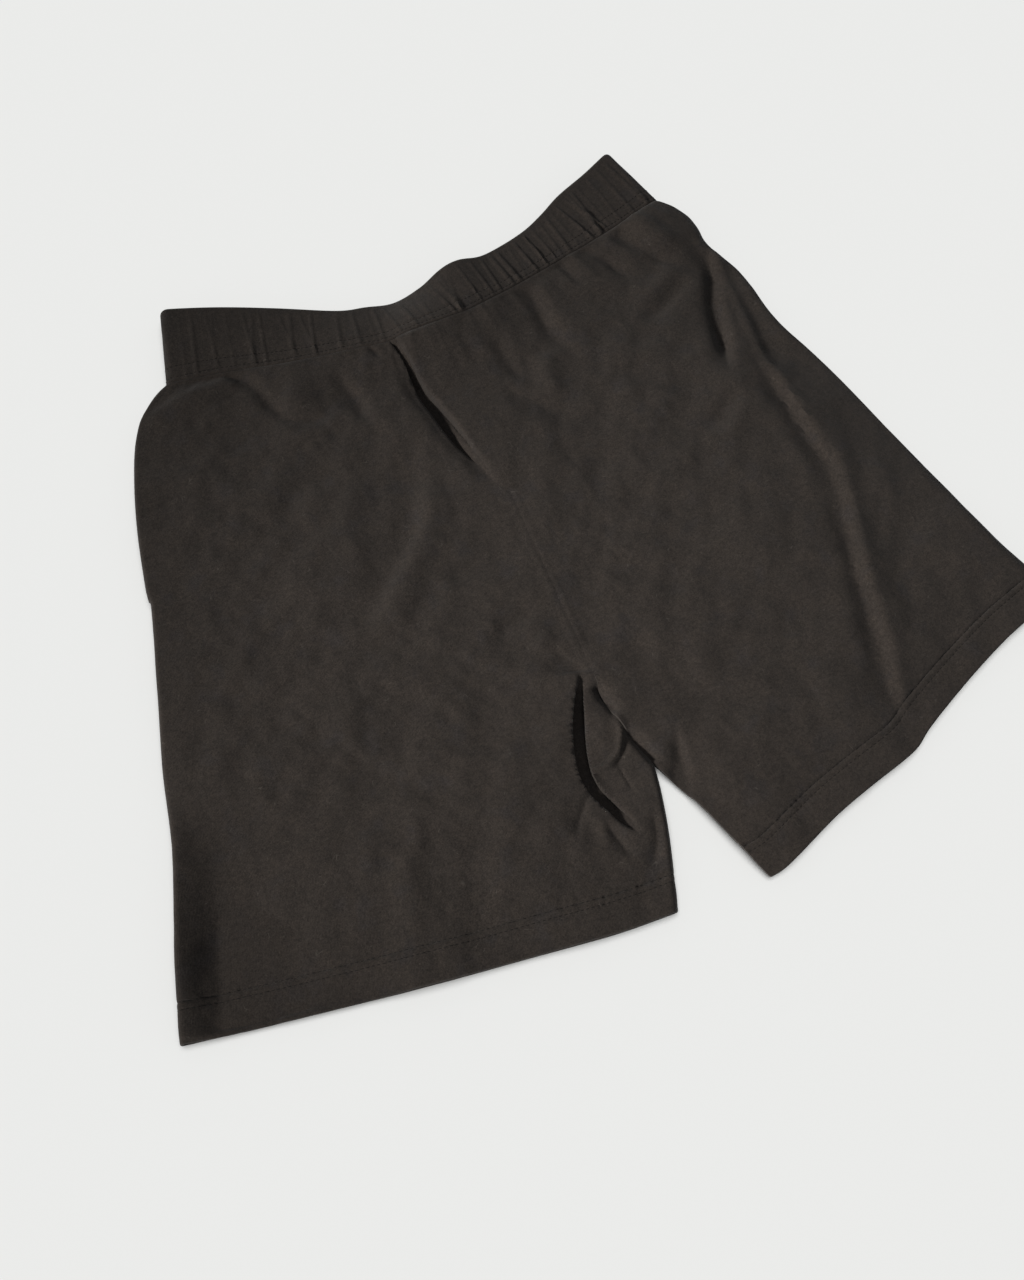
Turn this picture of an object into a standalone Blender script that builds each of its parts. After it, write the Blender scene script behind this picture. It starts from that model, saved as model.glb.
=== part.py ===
"""Pull-on boxing shorts of cotton jersey, laid flat on their back with the front side up.

Left and right are the wearer's, so the right leg is on the -X side. +Y runs from the legs to the
waistband and +Z is up. Every length is in metres.
"""

import math

import bmesh
import bpy
import numpy as np

MM = 0.001

# Driving dimensions
CLOTH = 1.2 * MM  # jersey thickness
CASING_CLOTH = 1.1 * MM  # the jersey of the waistband, pulled a little thinner by the elastic
POCKET_CLOTH = 0.8 * MM
GAP = 0.3 * MM  # between pieces that touch
BAND_DEPTH = 50 * MM
BAND_ROOM = 1.25 * MM  # from the middle of the waistband to the inner face of each ply
ELASTIC_WIDTH = 38 * MM
ELASTIC_THICKNESS = 1.5 * MM
ELASTIC_START = 1.6 * MM  # below the waistband's top fold
PANEL_TUCK = 7 * MM  # how far the panels reach up between the plies of the waistband
HEM_DEPTH = 21 * MM
THREAD_RADIUS = 0.25 * MM
BAND_STITCH_ROWS = (40.5 * MM, 47.5 * MM)  # below the top fold
HEM_STITCH_ROWS = (17 * MM, 21 * MM)  # above the hem's lower edge
SEAM_WIDTH = 6 * MM  # the overlocked allowance inside each seam
SEAM_THICKNESS = 1.1 * MM
EDGE_RADIUS = 8 * MM  # how far in from a folded side the front rises to its full height

# Heights of the middle of each layer, with the shorts lying on z = 0
BACK_LIFT = 0.6 * MM  # the back panels, which lie on the floor
BAND_BACK = 3.15 * MM  # the back of the waistband
HEM_LIFT = 1.5 * MM  # the back panels at the hems, over the stitches
FRONT_HEIGHT = 13.15 * MM  # the front panels and the front of the waistband
POCKET_BACK = 1.9 * MM
POCKET_FRONT = 8.6 * MM
MOUTH_EDGE = 9.3 * MM  # the front panel's edge over a pocket mouth

# The hump where the front of the waistband buckles up
HUMP_PLACE = (5 * MM, 285 * MM)
HUMP_SPREAD = (45 * MM, 28 * MM)
HUMP_HEIGHT = 13 * MM

# Outlines in plan, in millimetres from the crotch
BAND_TOP = [(-176, 376), (-140, 365), (-100, 349), (-60, 335), (-20, 330), (15, 334), (50, 338), (90, 349),
            (125, 367), (177, 388)]
BAND_FOOT = [(-190, 318), (-150, 312), (-110, 303), (-60, 295), (0, 291), (50, 299), (100, 311), (150, 325),
             (194, 338)]
CENTRE_SEAM = [(0, 150), (0, 0), (6, -30), (12, -54)]
RIGHT_INSEAM = [(12, -54), (8, -75), (0, -105), (-12, -141)]
LEFT_INSEAM = [(12, -54), (28, -84), (36, -110), (48, -143)]
RIGHT_SIDE = [(-196, 311), (-213, 300), (-225, 273), (-234, 238), (-241, 200), (-246, 165), (-257, 100), (-268, 50),
              (-277, 0), (-290, -50), (-303, -104)]
LEFT_SIDE = [(204, 326), (211, 305), (215, 280), (224, 245), (231, 205), (240, 175), (249, 145), (261, 100),
             (272, 50), (284, 0), (303, -48)]
RIGHT_HEM = [(-12, -141), (-60, -138), (-110, -131), (-200, -120), (-303, -104)]
LEFT_HEM = [(48, -143), (100, -125), (155, -109), (180, -98), (245, -68), (303, -48)]
OUTLINE_CENTRE = (0, 122.5)  # the middle of the outlines' box, where the frame's origin is

# Shares of the panel's length from the waist seam to the hem
CROTCH_V = 0.79
CROTCH_DIP = (0.66, CROTCH_V)  # where the inner edge starts to turn down, and where it is down
SIDE_DIP = (0.0, 0.045)
POCKET_MOUTH = (0.05, 0.31)
MOUTH_BLEND = 0.03
POCKET_TOP = 0.055
POCKET_DEPTH = 0.365

# Pocket bags
POCKET_REACH = 135 * MM  # across the leg
POCKET_INSET = 3.5 * MM  # from the side seam
POCKET_TIP = 0.34  # depth of the bag at its far edge, as a share of its depth at the mouth
POCKET_ROUNDNESS = 2.6
POCKET_SLOPE = 0.6  # how fast the front ply rises from the bag's closed edges, to 1 for the panels
POCKET_STEPS = (0, 0.05, 0.13, 0.27, 0.45, 0.63, 0.78, 0.9, 1)

# How far from the waistband and the hems the back panels are raised
BAND_RAMP = 18 * MM
HEM_RAMP = 30 * MM


def smooth_step(value):
    """0 below 0, 1 above 1 and an S curve between."""
    t = min(max(value, 0.0), 1.0)
    return t * t * (3 - 2 * t)


def curve_through(points, scale=1.0):
    """A function of 0..1 that runs along a smooth curve through the points at an even pace, and straight on past it."""
    p = np.array(points, float) * scale
    p = np.vstack([2 * p[0] - p[1], p, 2 * p[-1] - p[-2]])
    steps = np.linspace(0, 1, 13)[:-1][:, None]
    pieces = []
    for a, b, c, d in zip(p[:-3], p[1:-2], p[2:-1], p[3:]):
        pieces.append(0.5 * (2 * b + (c - a) * steps + (2 * a - 5 * b + 4 * c - d) * steps**2
                             + (3 * b - a - 3 * c + d) * steps**3))
    line = np.vstack([*pieces, p[-2][None]])
    along = np.concatenate([[0], np.cumsum(np.linalg.norm(np.diff(line, axis=0), axis=1))])
    along /= along[-1]
    first = (line[1] - line[0]) / along[1]
    last = (line[-1] - line[-2]) / (1 - along[-2])

    def at(t):
        inside = np.array([np.interp(t, along, line[:, k]) for k in range(line.shape[1])])
        return inside + first * min(t, 0) + last * max(t - 1, 0)

    return at


band_top = curve_through(BAND_TOP, MM)
band_foot = curve_through(BAND_FOOT, MM)
BAND_LENGTH = float(sum(np.linalg.norm(band_foot(t + 0.01) - band_foot(t)) for t in np.arange(100) / 100))
BAND_TURN = (FRONT_HEIGHT - BAND_BACK) / 2  # radius of the waistband's end folds
BAND_HALF = BAND_ROOM + CASING_CLOTH
CENTRE_A = float(min(np.arange(201) / 200, key=lambda t: abs(band_foot(t)[0])))
TUCK_INSET = 0.032  # share of the waistband's length between its end fold and the panels' corners


def band_plan(a, b):
    """A place on the waistband: a is the share of its length from the wearer's right, b the depth."""
    return band_top(a) + (band_foot(a) - band_top(a)) * (b / BAND_DEPTH)


def front_height(x, y):
    """Height of the middle of the front layer."""
    across = (x - HUMP_PLACE[0]) / HUMP_SPREAD[0]
    along = (y - HUMP_PLACE[1]) / HUMP_SPREAD[1]
    return FRONT_HEIGHT + HUMP_HEIGHT * math.exp(-(across**2 + along**2) / 2)


def band_height(a, b):
    """Height of the middle of the front of the waistband, straight from its top fold to the waist seam."""
    low = front_height(*band_foot(a))
    high = front_height(*band_top(a))
    return high + (low - high) * b / BAND_DEPTH


def leg_patch(inseam, side, hem, corner_a):
    """A leg panel's plan as a function of u, from its inner edge to its side, and v, from waist to hem."""
    def waist(u):
        return band_plan(CENTRE_A + (corner_a - CENTRE_A) * u, BAND_DEPTH)

    centre = curve_through([waist(0) / MM, *CENTRE_SEAM], MM)
    thigh = curve_through(inseam, MM)
    outer = curve_through([waist(1) / MM, *side], MM)
    foot = curve_through(hem, MM)

    def inner(v):
        return centre(v / CROTCH_V) if v < CROTCH_V else thigh((v - CROTCH_V) / (1 - CROTCH_V))

    def at(u, v):
        corners = ((1 - u) * (1 - v) * waist(0) + u * (1 - v) * waist(1)
                   + (1 - u) * v * foot(0) + u * v * foot(1))
        return (1 - v) * waist(u) + v * foot(u) + (1 - u) * inner(v) + u * outer(v) - corners

    return at


class Leg:
    """One leg: its patch, and the end of the waistband that it hangs from."""

    def __init__(self, inseam, side, hem, sign):
        self.sign = sign
        self.corner_a = 1 - TUCK_INSET if sign > 0 else TUCK_INSET
        self.at = leg_patch(inseam, side, hem, self.corner_a)

    def width(self, v):
        return float(np.linalg.norm(self.at(1, v) - self.at(0, v)))

    def length(self, u):
        steps = np.linspace(0, 1, 21)
        return float(sum(np.linalg.norm(self.at(u, b) - self.at(u, a)) for a, b in zip(steps, steps[1:])))

    def band_a(self, u):
        return CENTRE_A + (self.corner_a - CENTRE_A) * u


LEGS = {"right": Leg(RIGHT_INSEAM, RIGHT_SIDE, RIGHT_HEM, -1), "left": Leg(LEFT_INSEAM, LEFT_SIDE, LEFT_HEM, 1)}
PANEL_LENGTH = 0.435
WALL_STEPS = (0, 0.8 * MM, 2.6 * MM, 5.2 * MM, 8.5 * MM)  # columns of the grid near a folded edge


def back_height(leg, u, v):
    """Height of the middle of the back layer: flat on the floor, raised to the waistband and over the hem stitches."""
    from_band = v * PANEL_LENGTH
    from_hem = (1 - v) * PANEL_LENGTH
    up_to_band = (BAND_BACK - BACK_LIFT) * (1 - smooth_step((from_band - 1 * MM) / BAND_RAMP))
    over_hem = (HEM_LIFT - BACK_LIFT) * (1 - smooth_step((from_hem - HEM_DEPTH - 2 * MM) / (HEM_RAMP - HEM_DEPTH)))
    return BACK_LIFT + up_to_band + over_hem


def rise(distance):
    """Share of its full height that the front layer has at this distance from a folded edge."""
    t = min(max(distance / EDGE_RADIUS, 0.0), 1.0)
    return math.sqrt(1 - (1 - t) ** 2)


def mouth_share(v):
    """1 along the pocket mouth and 0 away from it."""
    return (smooth_step((v - POCKET_MOUTH[0] + MOUTH_BLEND) / MOUTH_BLEND)
            * (1 - smooth_step((v - POCKET_MOUTH[1]) / MOUTH_BLEND)))


def front_point(leg, u, v):
    """A point of the middle of the front layer below the waist seam."""
    x, y = leg.at(u, v)
    width = leg.width(v)
    foot = back_height(leg, u, v) + CLOTH / 2 + GAP
    full = front_height(x, y)
    side_foot = foot + (MOUTH_EDGE - foot) * max(mouth_share(v), 1 - smooth_step(v / POCKET_MOUTH[0]))
    side_share = 1 - smooth_step((v - SIDE_DIP[0]) / (SIDE_DIP[1] - SIDE_DIP[0])) * (1 - rise((1 - u) * width))
    inner_dip = smooth_step((v - CROTCH_DIP[0]) / (CROTCH_DIP[1] - CROTCH_DIP[0]))
    inner_share = 1 - inner_dip * (1 - rise(u * width))
    z = side_foot + (full - side_foot) * side_share
    return np.array([x, y, foot + (z - foot) * inner_share])


def new_object(name, mesh_or_curve, material):
    obj = bpy.data.objects.new(name, mesh_or_curve)
    obj.data.materials.append(material)
    obj.parent = shorts
    bpy.context.scene.collection.objects.link(obj)
    return obj


def new_mesh(name, vertices, faces, material):
    """A closed mesh object with its faces turned outwards."""
    mesh = bpy.data.meshes.new(name)
    mesh.from_pydata([tuple(v) for v in vertices], [], faces)
    bm = bmesh.new()
    bm.from_mesh(mesh)
    bmesh.ops.recalc_face_normals(bm, faces=bm.faces)
    bm.to_mesh(mesh)
    bm.free()
    mesh.shade_smooth()
    mesh.set_sharp_from_angle(angle=math.radians(40))
    return new_object(name, mesh, material)


def normals_of(middle):
    """The upward normals of a grid of points."""
    normal = np.cross(np.gradient(middle, axis=1), np.gradient(middle, axis=0))
    normal /= np.linalg.norm(normal, axis=2, keepdims=True)
    return normal if normal[len(middle) // 2, len(middle[0]) // 2, 2] > 0 else -normal


def sheet(name, middle, thickness, material):
    """A sheet of cloth of even thickness about a grid of points, with its edges closed."""
    middle = np.array(middle, float)
    rows, columns = middle.shape[:2]
    normal = normals_of(middle)
    vertices = np.concatenate([(middle + normal * thickness / 2).reshape(-1, 3),
                               (middle - normal * thickness / 2).reshape(-1, 3)])
    count = rows * columns
    faces = []
    for i in range(rows - 1):
        for j in range(columns - 1):
            corner = i * columns + j
            quad = (corner, corner + 1, corner + columns + 1, corner + columns)
            faces.append(quad)
            faces.append(tuple(count + k for k in reversed(quad)))
    rim = [j for j in range(columns)]
    rim += [i * columns + columns - 1 for i in range(1, rows)]
    rim += [(rows - 1) * columns + j for j in range(columns - 2, -1, -1)]
    rim += [i * columns for i in range(rows - 2, 0, -1)]
    for a, b in zip(rim, rim[1:] + rim[:1]):
        faces.append((b, a, count + a, count + b))
    return new_mesh(name, vertices, faces, material)


def swept_ring(name, sections, material):
    """A closed ring through the sections, each the same polygon at its own place."""
    sections = np.array(sections, float)
    count, corners = sections.shape[:2]
    faces = []
    for i in range(count):
        j = (i + 1) % count
        for k in range(corners):
            m = (k + 1) % corners
            faces.append((i * corners + k, i * corners + m, j * corners + m, j * corners + k))
    return new_mesh(name, sections.reshape(-1, 3), faces, material)


def thread_ring(name, points):
    """A closed line of stitching thread."""
    curve = bpy.data.curves.new(name, "CURVE")
    curve.dimensions = "3D"
    curve.bevel_depth = THREAD_RADIUS
    curve.bevel_resolution = 0
    spline = curve.splines.new("POLY")
    spline.points.add(len(points) - 1)
    for slot, point in zip(spline.points, points):
        slot.co = (*point, 1.0)
    spline.use_cyclic_u = True
    return new_object(name, curve, thread)


def fabric_material(name, colour, roughness):
    material = bpy.data.materials.new(name)
    material.use_nodes = True
    surface = material.node_tree.nodes["Principled BSDF"]
    surface.inputs["Base Color"].default_value = (*colour, 1.0)
    surface.inputs["Roughness"].default_value = roughness
    surface.inputs["Metallic"].default_value = 0.0
    return material


def waistband_path():
    """The closed path of the waistband: (length share, straight or turned direction, front share) at each station."""
    stations = []
    end = BAND_TURN + BAND_HALF
    flat = np.linspace(end, BAND_LENGTH - end, 25)
    for a in flat:
        stations.append((a, 0.0, 1.0, 1.0))
    for angle in np.radians([30, 60, 90, 120, 150]):
        stations.append((flat[-1] + BAND_TURN * math.sin(angle), math.sin(angle), math.cos(angle),
                         0.5 + 0.5 * math.cos(angle)))
    for a in flat[::-1]:
        stations.append((a, 0.0, -1.0, 0.0))
    for angle in np.radians([30, 60, 90, 120, 150]):
        stations.append((flat[0] - BAND_TURN * math.sin(angle), -math.sin(angle), -math.cos(angle),
                         0.5 - 0.5 * math.cos(angle)))
    return stations


def waistband_point(station, out, depth):
    """A point of the waistband at a station, out from its middle by out and down from its top fold by depth."""
    along, out_along, out_up, front = station
    a = (along + out * out_along) / BAND_LENGTH
    x, y = band_plan(a, depth)
    z = BAND_BACK + (band_height(a, depth) - BAND_BACK) * front
    return (x, y, z + out * out_up)


def make_waistband():
    path = waistband_path()
    half = BAND_HALF
    upper, lower = BAND_STITCH_ROWS
    folded_strip = [(half, BAND_DEPTH), (half, lower), (half, upper), (half, 0), (-half, 0), (-half, BAND_DEPTH),
                    (-BAND_ROOM, BAND_DEPTH), (-BAND_ROOM, CASING_CLOTH), (BAND_ROOM, CASING_CLOTH),
                    (BAND_ROOM, BAND_DEPTH)]
    swept_ring("waistband_casing", [[waistband_point(s, n, b) for n, b in folded_strip] for s in path], jersey)

    side = ELASTIC_THICKNESS / 2
    low = ELASTIC_START + ELASTIC_WIDTH
    strip = [(side, ELASTIC_START), (side, low), (-side, low), (-side, ELASTIC_START)]
    swept_ring("waistband_elastic", [[waistband_point(s, n, b) for n, b in strip] for s in path], elastic)

    out = half + 2 * THREAD_RADIUS
    for row, depth in zip(("upper", "lower"), BAND_STITCH_ROWS):
        thread_ring(f"waist_stitching_{row}", [waistband_point(s, out, depth) for s in path])


def columns_of(leg, v, middle, walls):
    """Positions across a panel: close together near its edges where there are walls, even between."""
    width = leg.width(v)
    near = [step / width for step in WALL_STEPS] if walls else [0.0]
    between = np.linspace(near[-1], 1 - near[-1], middle + 1)
    return np.array([*near[:-1], *between, *[1 - u for u in near[-2::-1]]])


def inset(leg, u, v, edge):
    """u moved in from both edges of the panel by the length edge."""
    share = edge / leg.width(v)
    return share + u * (1 - 2 * share)


def front_rows(leg):
    """The middle of a front panel, row by row: two rows tucked into the waistband and the rest below it."""
    edge = CLOTH / 2 + GAP / 2
    rows = []
    for depth in (BAND_DEPTH - PANEL_TUCK, BAND_DEPTH):
        row = []
        for u in columns_of(leg, 0, 10, True):
            a = leg.band_a(inset(leg, u, 0, edge))
            row.append((*band_plan(a, depth), band_height(a, depth)))
        rows.append(row)
    for v in FRONT_SHARES:
        rows.append([front_point(leg, inset(leg, u, v, edge), v) for u in columns_of(leg, v, 10, True)])
    return rows


def back_rows(leg):
    rows = []
    for depth in (BAND_DEPTH - PANEL_TUCK, BAND_DEPTH):
        row = []
        for u in columns_of(leg, 0, 8, False):
            a = leg.band_a(inset(leg, u, 0, GAP / 2))
            row.append((*band_plan(a, depth), BAND_BACK))
        rows.append(row)
    for v in BACK_SHARES:
        row = []
        for u in columns_of(leg, v, 8, False):
            at = inset(leg, u, v, GAP / 2)
            row.append((*leg.at(at, v), back_height(leg, at, v)))
        rows.append(row)
    return rows


HEM_ROW_SHARES = [1 - row / PANEL_LENGTH for row in HEM_STITCH_ROWS]
FRONT_SHARES = np.array([0.012, 0.03, 0.05, 0.085, 0.13, 0.18, 0.24, 0.30, 0.325, 0.35, 0.42, 0.50, 0.58, 0.66,
                         0.70, 0.74, 0.79, 0.85, 0.92, *HEM_ROW_SHARES[::-1], 1.0])
BACK_SHARES = np.array([0.008, 0.025, 0.044, 0.12, 0.24, 0.36, 0.48, 0.60, 0.70, 0.79, 0.88, 0.926,
                        *HEM_ROW_SHARES[::-1], 1.0])


def make_hem(side, leg):
    """The turned-up hem inside a leg opening and the two rows of stitching that hold it."""
    top_share = 1 - HEM_DEPTH / PANEL_LENGTH
    low = HEM_LIFT + CLOTH + GAP
    high = FRONT_HEIGHT - CLOTH - GAP
    turn = (high - low) / 2
    end = 3.6 * MM + turn
    sections = []
    width = leg.width(1)
    flat = np.linspace(end, width - end, 14)
    arc = np.radians([30, 60, 90, 120, 150])
    path = [(d, 0.0, 1.0, high) for d in flat]
    path += [(flat[-1] + turn * math.sin(t), math.sin(t), math.cos(t), low + turn * (1 + math.cos(t))) for t in arc]
    path += [(d, 0.0, -1.0, low) for d in flat[::-1]]
    path += [(flat[0] - turn * math.sin(t), -math.sin(t), -math.cos(t), low + turn * (1 - math.cos(t))) for t in arc]
    for along, out_along, out_up, z in path:
        ring = []
        for out, v in ((CLOTH / 2, 1.0), (CLOTH / 2, top_share), (-CLOTH / 2, top_share), (-CLOTH / 2, 1.0)):
            x, y = leg.at((along + out * out_along) / width, v)
            ring.append((x, y, z + out * out_up))
        sections.append(ring)
    swept_ring(f"{side}_hem_turnup", sections, jersey)

    out = CLOTH / 2 + 2 * THREAD_RADIUS
    front = np.array(front_rows(leg))
    back = np.array(back_rows(leg))
    over = front + normals_of(front) * out
    under = back - normals_of(back) * out
    for row, v, index in zip(("lower", "upper"), HEM_ROW_SHARES, (-2, -3)):
        past = (out - CLOTH / 2 - GAP / 2) / leg.width(v)
        far, near = leg.at(1 + past, v), leg.at(-past, v)
        low = under[index, 0, 2]
        thread_ring(f"{side}_hem_stitching_{row}", [*over[index], (*far, low), *under[index, ::-1], (*near, low)])


def make_pocket(side, leg):
    """A side pocket's two plies: open along the side seam, and closed round the rest of the bag."""
    front, back = [], []
    foot = POCKET_BACK + POCKET_CLOTH + GAP
    for down in POCKET_STEPS:
        front_row, back_row = [], []
        for across in POCKET_STEPS:
            depth = POCKET_DEPTH * (POCKET_TIP + (1 - POCKET_TIP) * math.sqrt(1 - across**POCKET_ROUNDNESS))
            v = POCKET_TOP + depth * down
            x, y = leg.at(1 - (POCKET_INSET + POCKET_REACH * across) / leg.width(v), v)
            to_edge = min((1 - across) * POCKET_REACH, (1 - down) * depth * PANEL_LENGTH, down * depth * PANEL_LENGTH)
            below_mouth = smooth_step((v - POCKET_MOUTH[1] + MOUTH_BLEND) / MOUTH_BLEND)
            open_share = 1 - below_mouth * (1 - rise(POCKET_SLOPE * across * POCKET_REACH))
            front_row.append((x, y, foot + (POCKET_FRONT - foot) * rise(POCKET_SLOPE * to_edge) * open_share))
            back_row.append((x, y, POCKET_BACK))
        front.append(front_row)
        back.append(back_row)
    sheet(f"{side}_pocket_front_ply", front, POCKET_CLOTH, pocketing)
    sheet(f"{side}_pocket_back_ply", back, POCKET_CLOTH, pocketing)


def seam_strip(name, points, height):
    """An overlocked seam allowance: a flat strip along the points, with its middle at the given height."""
    line = curve_through(points)
    count = max(4, int(len(points) * 2.5))
    rows = []
    for t in np.linspace(0, 1, count):
        here = line(t)
        along = line(min(t + 0.01, 1)) - line(max(t - 0.01, 0))
        across = np.array([-along[1], along[0]]) / np.linalg.norm(along) * SEAM_WIDTH / 2
        rows.append([(*(here + across * k), height(*here)) for k in (-1, 1)])
    sheet(name, rows, SEAM_THICKNESS, thread)


def make_seams():
    on_back = BACK_LIFT + CLOTH / 2 + GAP + SEAM_THICKNESS / 2
    under_front = CLOTH / 2 + GAP + SEAM_THICKNESS / 2 + 0.4 * MM
    right, left = LEGS["right"], LEGS["left"]
    rise_points = [right.at(0, v) for v in np.linspace(0.045, 0.62, 7)]
    seam_strip("front_rise_seam", rise_points, lambda x, y: front_height(x, y) - under_front)
    seam_strip("back_rise_seam", rise_points, lambda x, y: on_back)

    from_edge = 11 * MM
    shares = (0.925, 0.88, 0.84, 0.80)
    down_right = [right.at(from_edge / right.width(v), v) for v in shares]
    up_left = [left.at(from_edge / left.width(v), v) for v in shares[::-1]]
    crotch = [right.at(0, 0.755), right.at(0, 0.735), left.at(0, 0.755)]
    arch = [crotch[0] + (-5 * MM, 0), crotch[1], crotch[2] + (5 * MM, 0)]
    seam_strip("inseam_seam", [*down_right, *arch, *up_left], lambda x, y: on_back)
    for side, leg in LEGS.items():
        beside = [leg.at(1 - 9 * MM / leg.width(v), v) for v in np.linspace(0.45, 0.92, 6)]
        seam_strip(f"{side}_side_seam", beside, lambda x, y: on_back)


def make_label():
    """The care label: a ribbon folded in two, sewn into the back of the waist seam."""
    width, length, ply, apart = 30 * MM, 34 * MM, 0.25 * MM, 0.3 * MM
    x, y = band_foot(CENTRE_A)
    top = y - 3 * MM
    drop = [0, 8 * MM, 16 * MM, 24 * MM, length]

    def floor_at(distance):
        v = (distance + 3 * MM) / PANEL_LENGTH
        return back_height(LEGS["right"], 0, v) + CLOTH / 2 + 2 * GAP + SEAM_THICKNESS + 0.3 * MM

    lower = [(top - d, floor_at(d)) for d in drop]
    upper = [(py, pz + 2 * ply + apart) for py, pz in lower]
    inner_low = [(py, pz + ply) for py, pz in lower[:-1]] + [(lower[-1][0] + ply, lower[-1][1] + ply)]
    inner_high = [(py, pz + ply + apart) for py, pz in lower[:-1]] + [(lower[-1][0] + ply, lower[-1][1] + ply + apart)]
    profile = [*lower, *upper[::-1], *inner_high, *inner_low[::-1]]
    count = len(profile)
    vertices = [(x + k * width / 2, py, pz) for k in (-1, 1) for py, pz in profile]
    faces = [(i, (i + 1) % count, count + (i + 1) % count, count + i) for i in range(count)]
    faces += [tuple(range(count)), tuple(range(2 * count - 1, count - 1, -1))]
    new_mesh("care_label", vertices, faces, ribbon)


for old in list(bpy.data.objects):
    bpy.data.objects.remove(old)

shorts = bpy.data.objects.new("shorts", None)
shorts.location = (-OUTLINE_CENTRE[0] * MM, -OUTLINE_CENTRE[1] * MM, 0)
bpy.context.scene.collection.objects.link(shorts)

jersey = fabric_material("charcoal_jersey", (0.030, 0.027, 0.025), 0.92)
pocketing = fabric_material("black_pocketing", (0.022, 0.021, 0.021), 0.9)
elastic = fabric_material("white_elastic", (0.62, 0.61, 0.58), 0.75)
thread = fabric_material("black_thread", (0.020, 0.019, 0.019), 0.6)
ribbon = fabric_material("label_satin", (0.72, 0.72, 0.70), 0.45)

make_waistband()
for side_name, one_leg in LEGS.items():
    sheet(f"{side_name}_front_panel", front_rows(one_leg), CLOTH, jersey)
    sheet(f"{side_name}_back_panel", back_rows(one_leg), CLOTH, jersey)
    make_hem(side_name, one_leg)
    make_pocket(side_name, one_leg)
make_seams()
make_label()
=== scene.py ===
"""Looks of the boxing shorts: charcoal cotton jersey, lying on their back on a pale floor.

Outlines and folds are in millimetres from the crotch, with the wearer's right leg on -X and the
waistband towards +Y. They are turned into metres in the frame's coordinates as each mesh is made.
"""

import math

import bpy
import numpy as np
from mathutils import Matrix, Vector


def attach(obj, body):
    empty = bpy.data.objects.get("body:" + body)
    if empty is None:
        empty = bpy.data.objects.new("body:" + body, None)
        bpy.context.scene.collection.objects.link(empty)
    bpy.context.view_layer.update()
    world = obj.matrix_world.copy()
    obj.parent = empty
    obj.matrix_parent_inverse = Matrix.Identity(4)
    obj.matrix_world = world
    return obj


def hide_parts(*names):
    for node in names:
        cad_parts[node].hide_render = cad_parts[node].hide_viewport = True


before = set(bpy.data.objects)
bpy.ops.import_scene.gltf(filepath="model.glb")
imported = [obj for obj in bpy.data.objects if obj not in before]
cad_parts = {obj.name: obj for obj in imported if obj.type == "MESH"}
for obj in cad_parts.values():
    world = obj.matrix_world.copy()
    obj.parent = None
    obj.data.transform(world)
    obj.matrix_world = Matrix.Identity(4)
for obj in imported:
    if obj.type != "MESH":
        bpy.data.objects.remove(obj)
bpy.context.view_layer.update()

MM = 0.001
OUTLINE_CENTRE = np.array([0.0, 122.5, 0.0])  # where the frame's origin is, from the crotch

# Cloth, in millimetres
JERSEY = 1.2
CASING = 1.1
POCKETING = 0.6
FOLD_GAP = 0.15  # between two plies that are folded on each other
BAND_DEPTH = 50.0
BAND_ROOM = 1.7  # from the middle of the waistband to the middle of each ply
HEM_DEPTH = 21.0
BAND_STITCH_ROWS = (40.5, 47.5)  # below the top fold
HEM_STITCH_ROWS = (17.0, 21.0)  # above the hem's lower edge
HEM_PUCKERS = (0.4, 0.95)  # how far each of them pulls the cloth in
HEM_PITCH = 3.3  # from one stitch to the next
PANEL_TUCK = 7.0
PANEL_LENGTH = 435.0

# Heights of the middle of each layer, in millimetres
BACK_Z = 1.0
BAND_BACK_Z = 4.2
SIDE_SEAM_Z = 3.4  # where front and back meet at a folded side
FRONT_Z = 12.0
HEM_FRONT_Z = 8.6
LOWEST_FRONT_Z = BACK_Z + JERSEY + 0.6  # it never sinks into the back
INNER_THIGH_Z = 6.8  # of the left leg along its inner edge
SIDE_RADIUS = {-1: 3.0, 1: 10.0}  # how far the fold at each leg's side reaches into its front
INNER_RADIUS = {-1: 3.6, 1: 1.0}  # the same for the fold at its inner edge, below the crotch
BACK_SIDE_RADIUS, BACK_INNER_RADIUS = 5.0, 4.0  # and into its back
SEAM_GAP = 0.06  # from a seam to the middle of the cloth's edge on each side
CENTRE_GAP = 0.03  # the same along the centre seams, which are pulled tight
SEAM_SWELL = 1.4  # how far the cloth swells up just below the waistband

# Outlines in plan
BAND_TOP = [(-177, 375), (-172, 375), (-140, 364), (-100, 348), (-60, 331), (-40, 327), (-20, 323), (0, 326),
            (18, 331), (34, 333), (50, 333), (70, 338), (90, 345), (107, 354), (125, 365), (150, 376), (172, 387),
            (177, 388)]
BAND_FOOT = [(-190, 318), (-150, 312), (-110, 303), (-60, 294), (-20, 289), (20, 291), (50, 298), (100, 311),
             (150, 324), (194, 338)]
CENTRE_SEAM = [(1, 240), (0, 150), (0, 60), (0, 0), (5, -28), (12, -54)]
RIGHT_INSEAM = [(12, -54), (8, -75), (0, -105), (-12, -141)]
LEFT_INSEAM = [(12, -54), (22, -76), (28, -88), (36, -110), (48, -143)]
RIGHT_SIDE = [(-198, 313), (-208, 304), (-216, 294), (-225, 273), (-233, 242), (-239, 212), (-244, 178),
              (-245, 166), (-245, 158), (-257, 100), (-268, 50), (-276, 0), (-289, -50), (-302, -104)]
LEFT_SIDE = [(203, 327), (210, 317), (212, 305), (212, 293), (216, 279), (223, 262), (226, 245), (228, 222),
             (232, 203), (240, 181), (249, 150), (261, 100), (273, 50), (285, 0), (303, -48)]
RIGHT_HEM = [(-12, -141), (-50, -139), (-100, -133), (-150, -127), (-200, -120), (-302, -104)]
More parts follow.
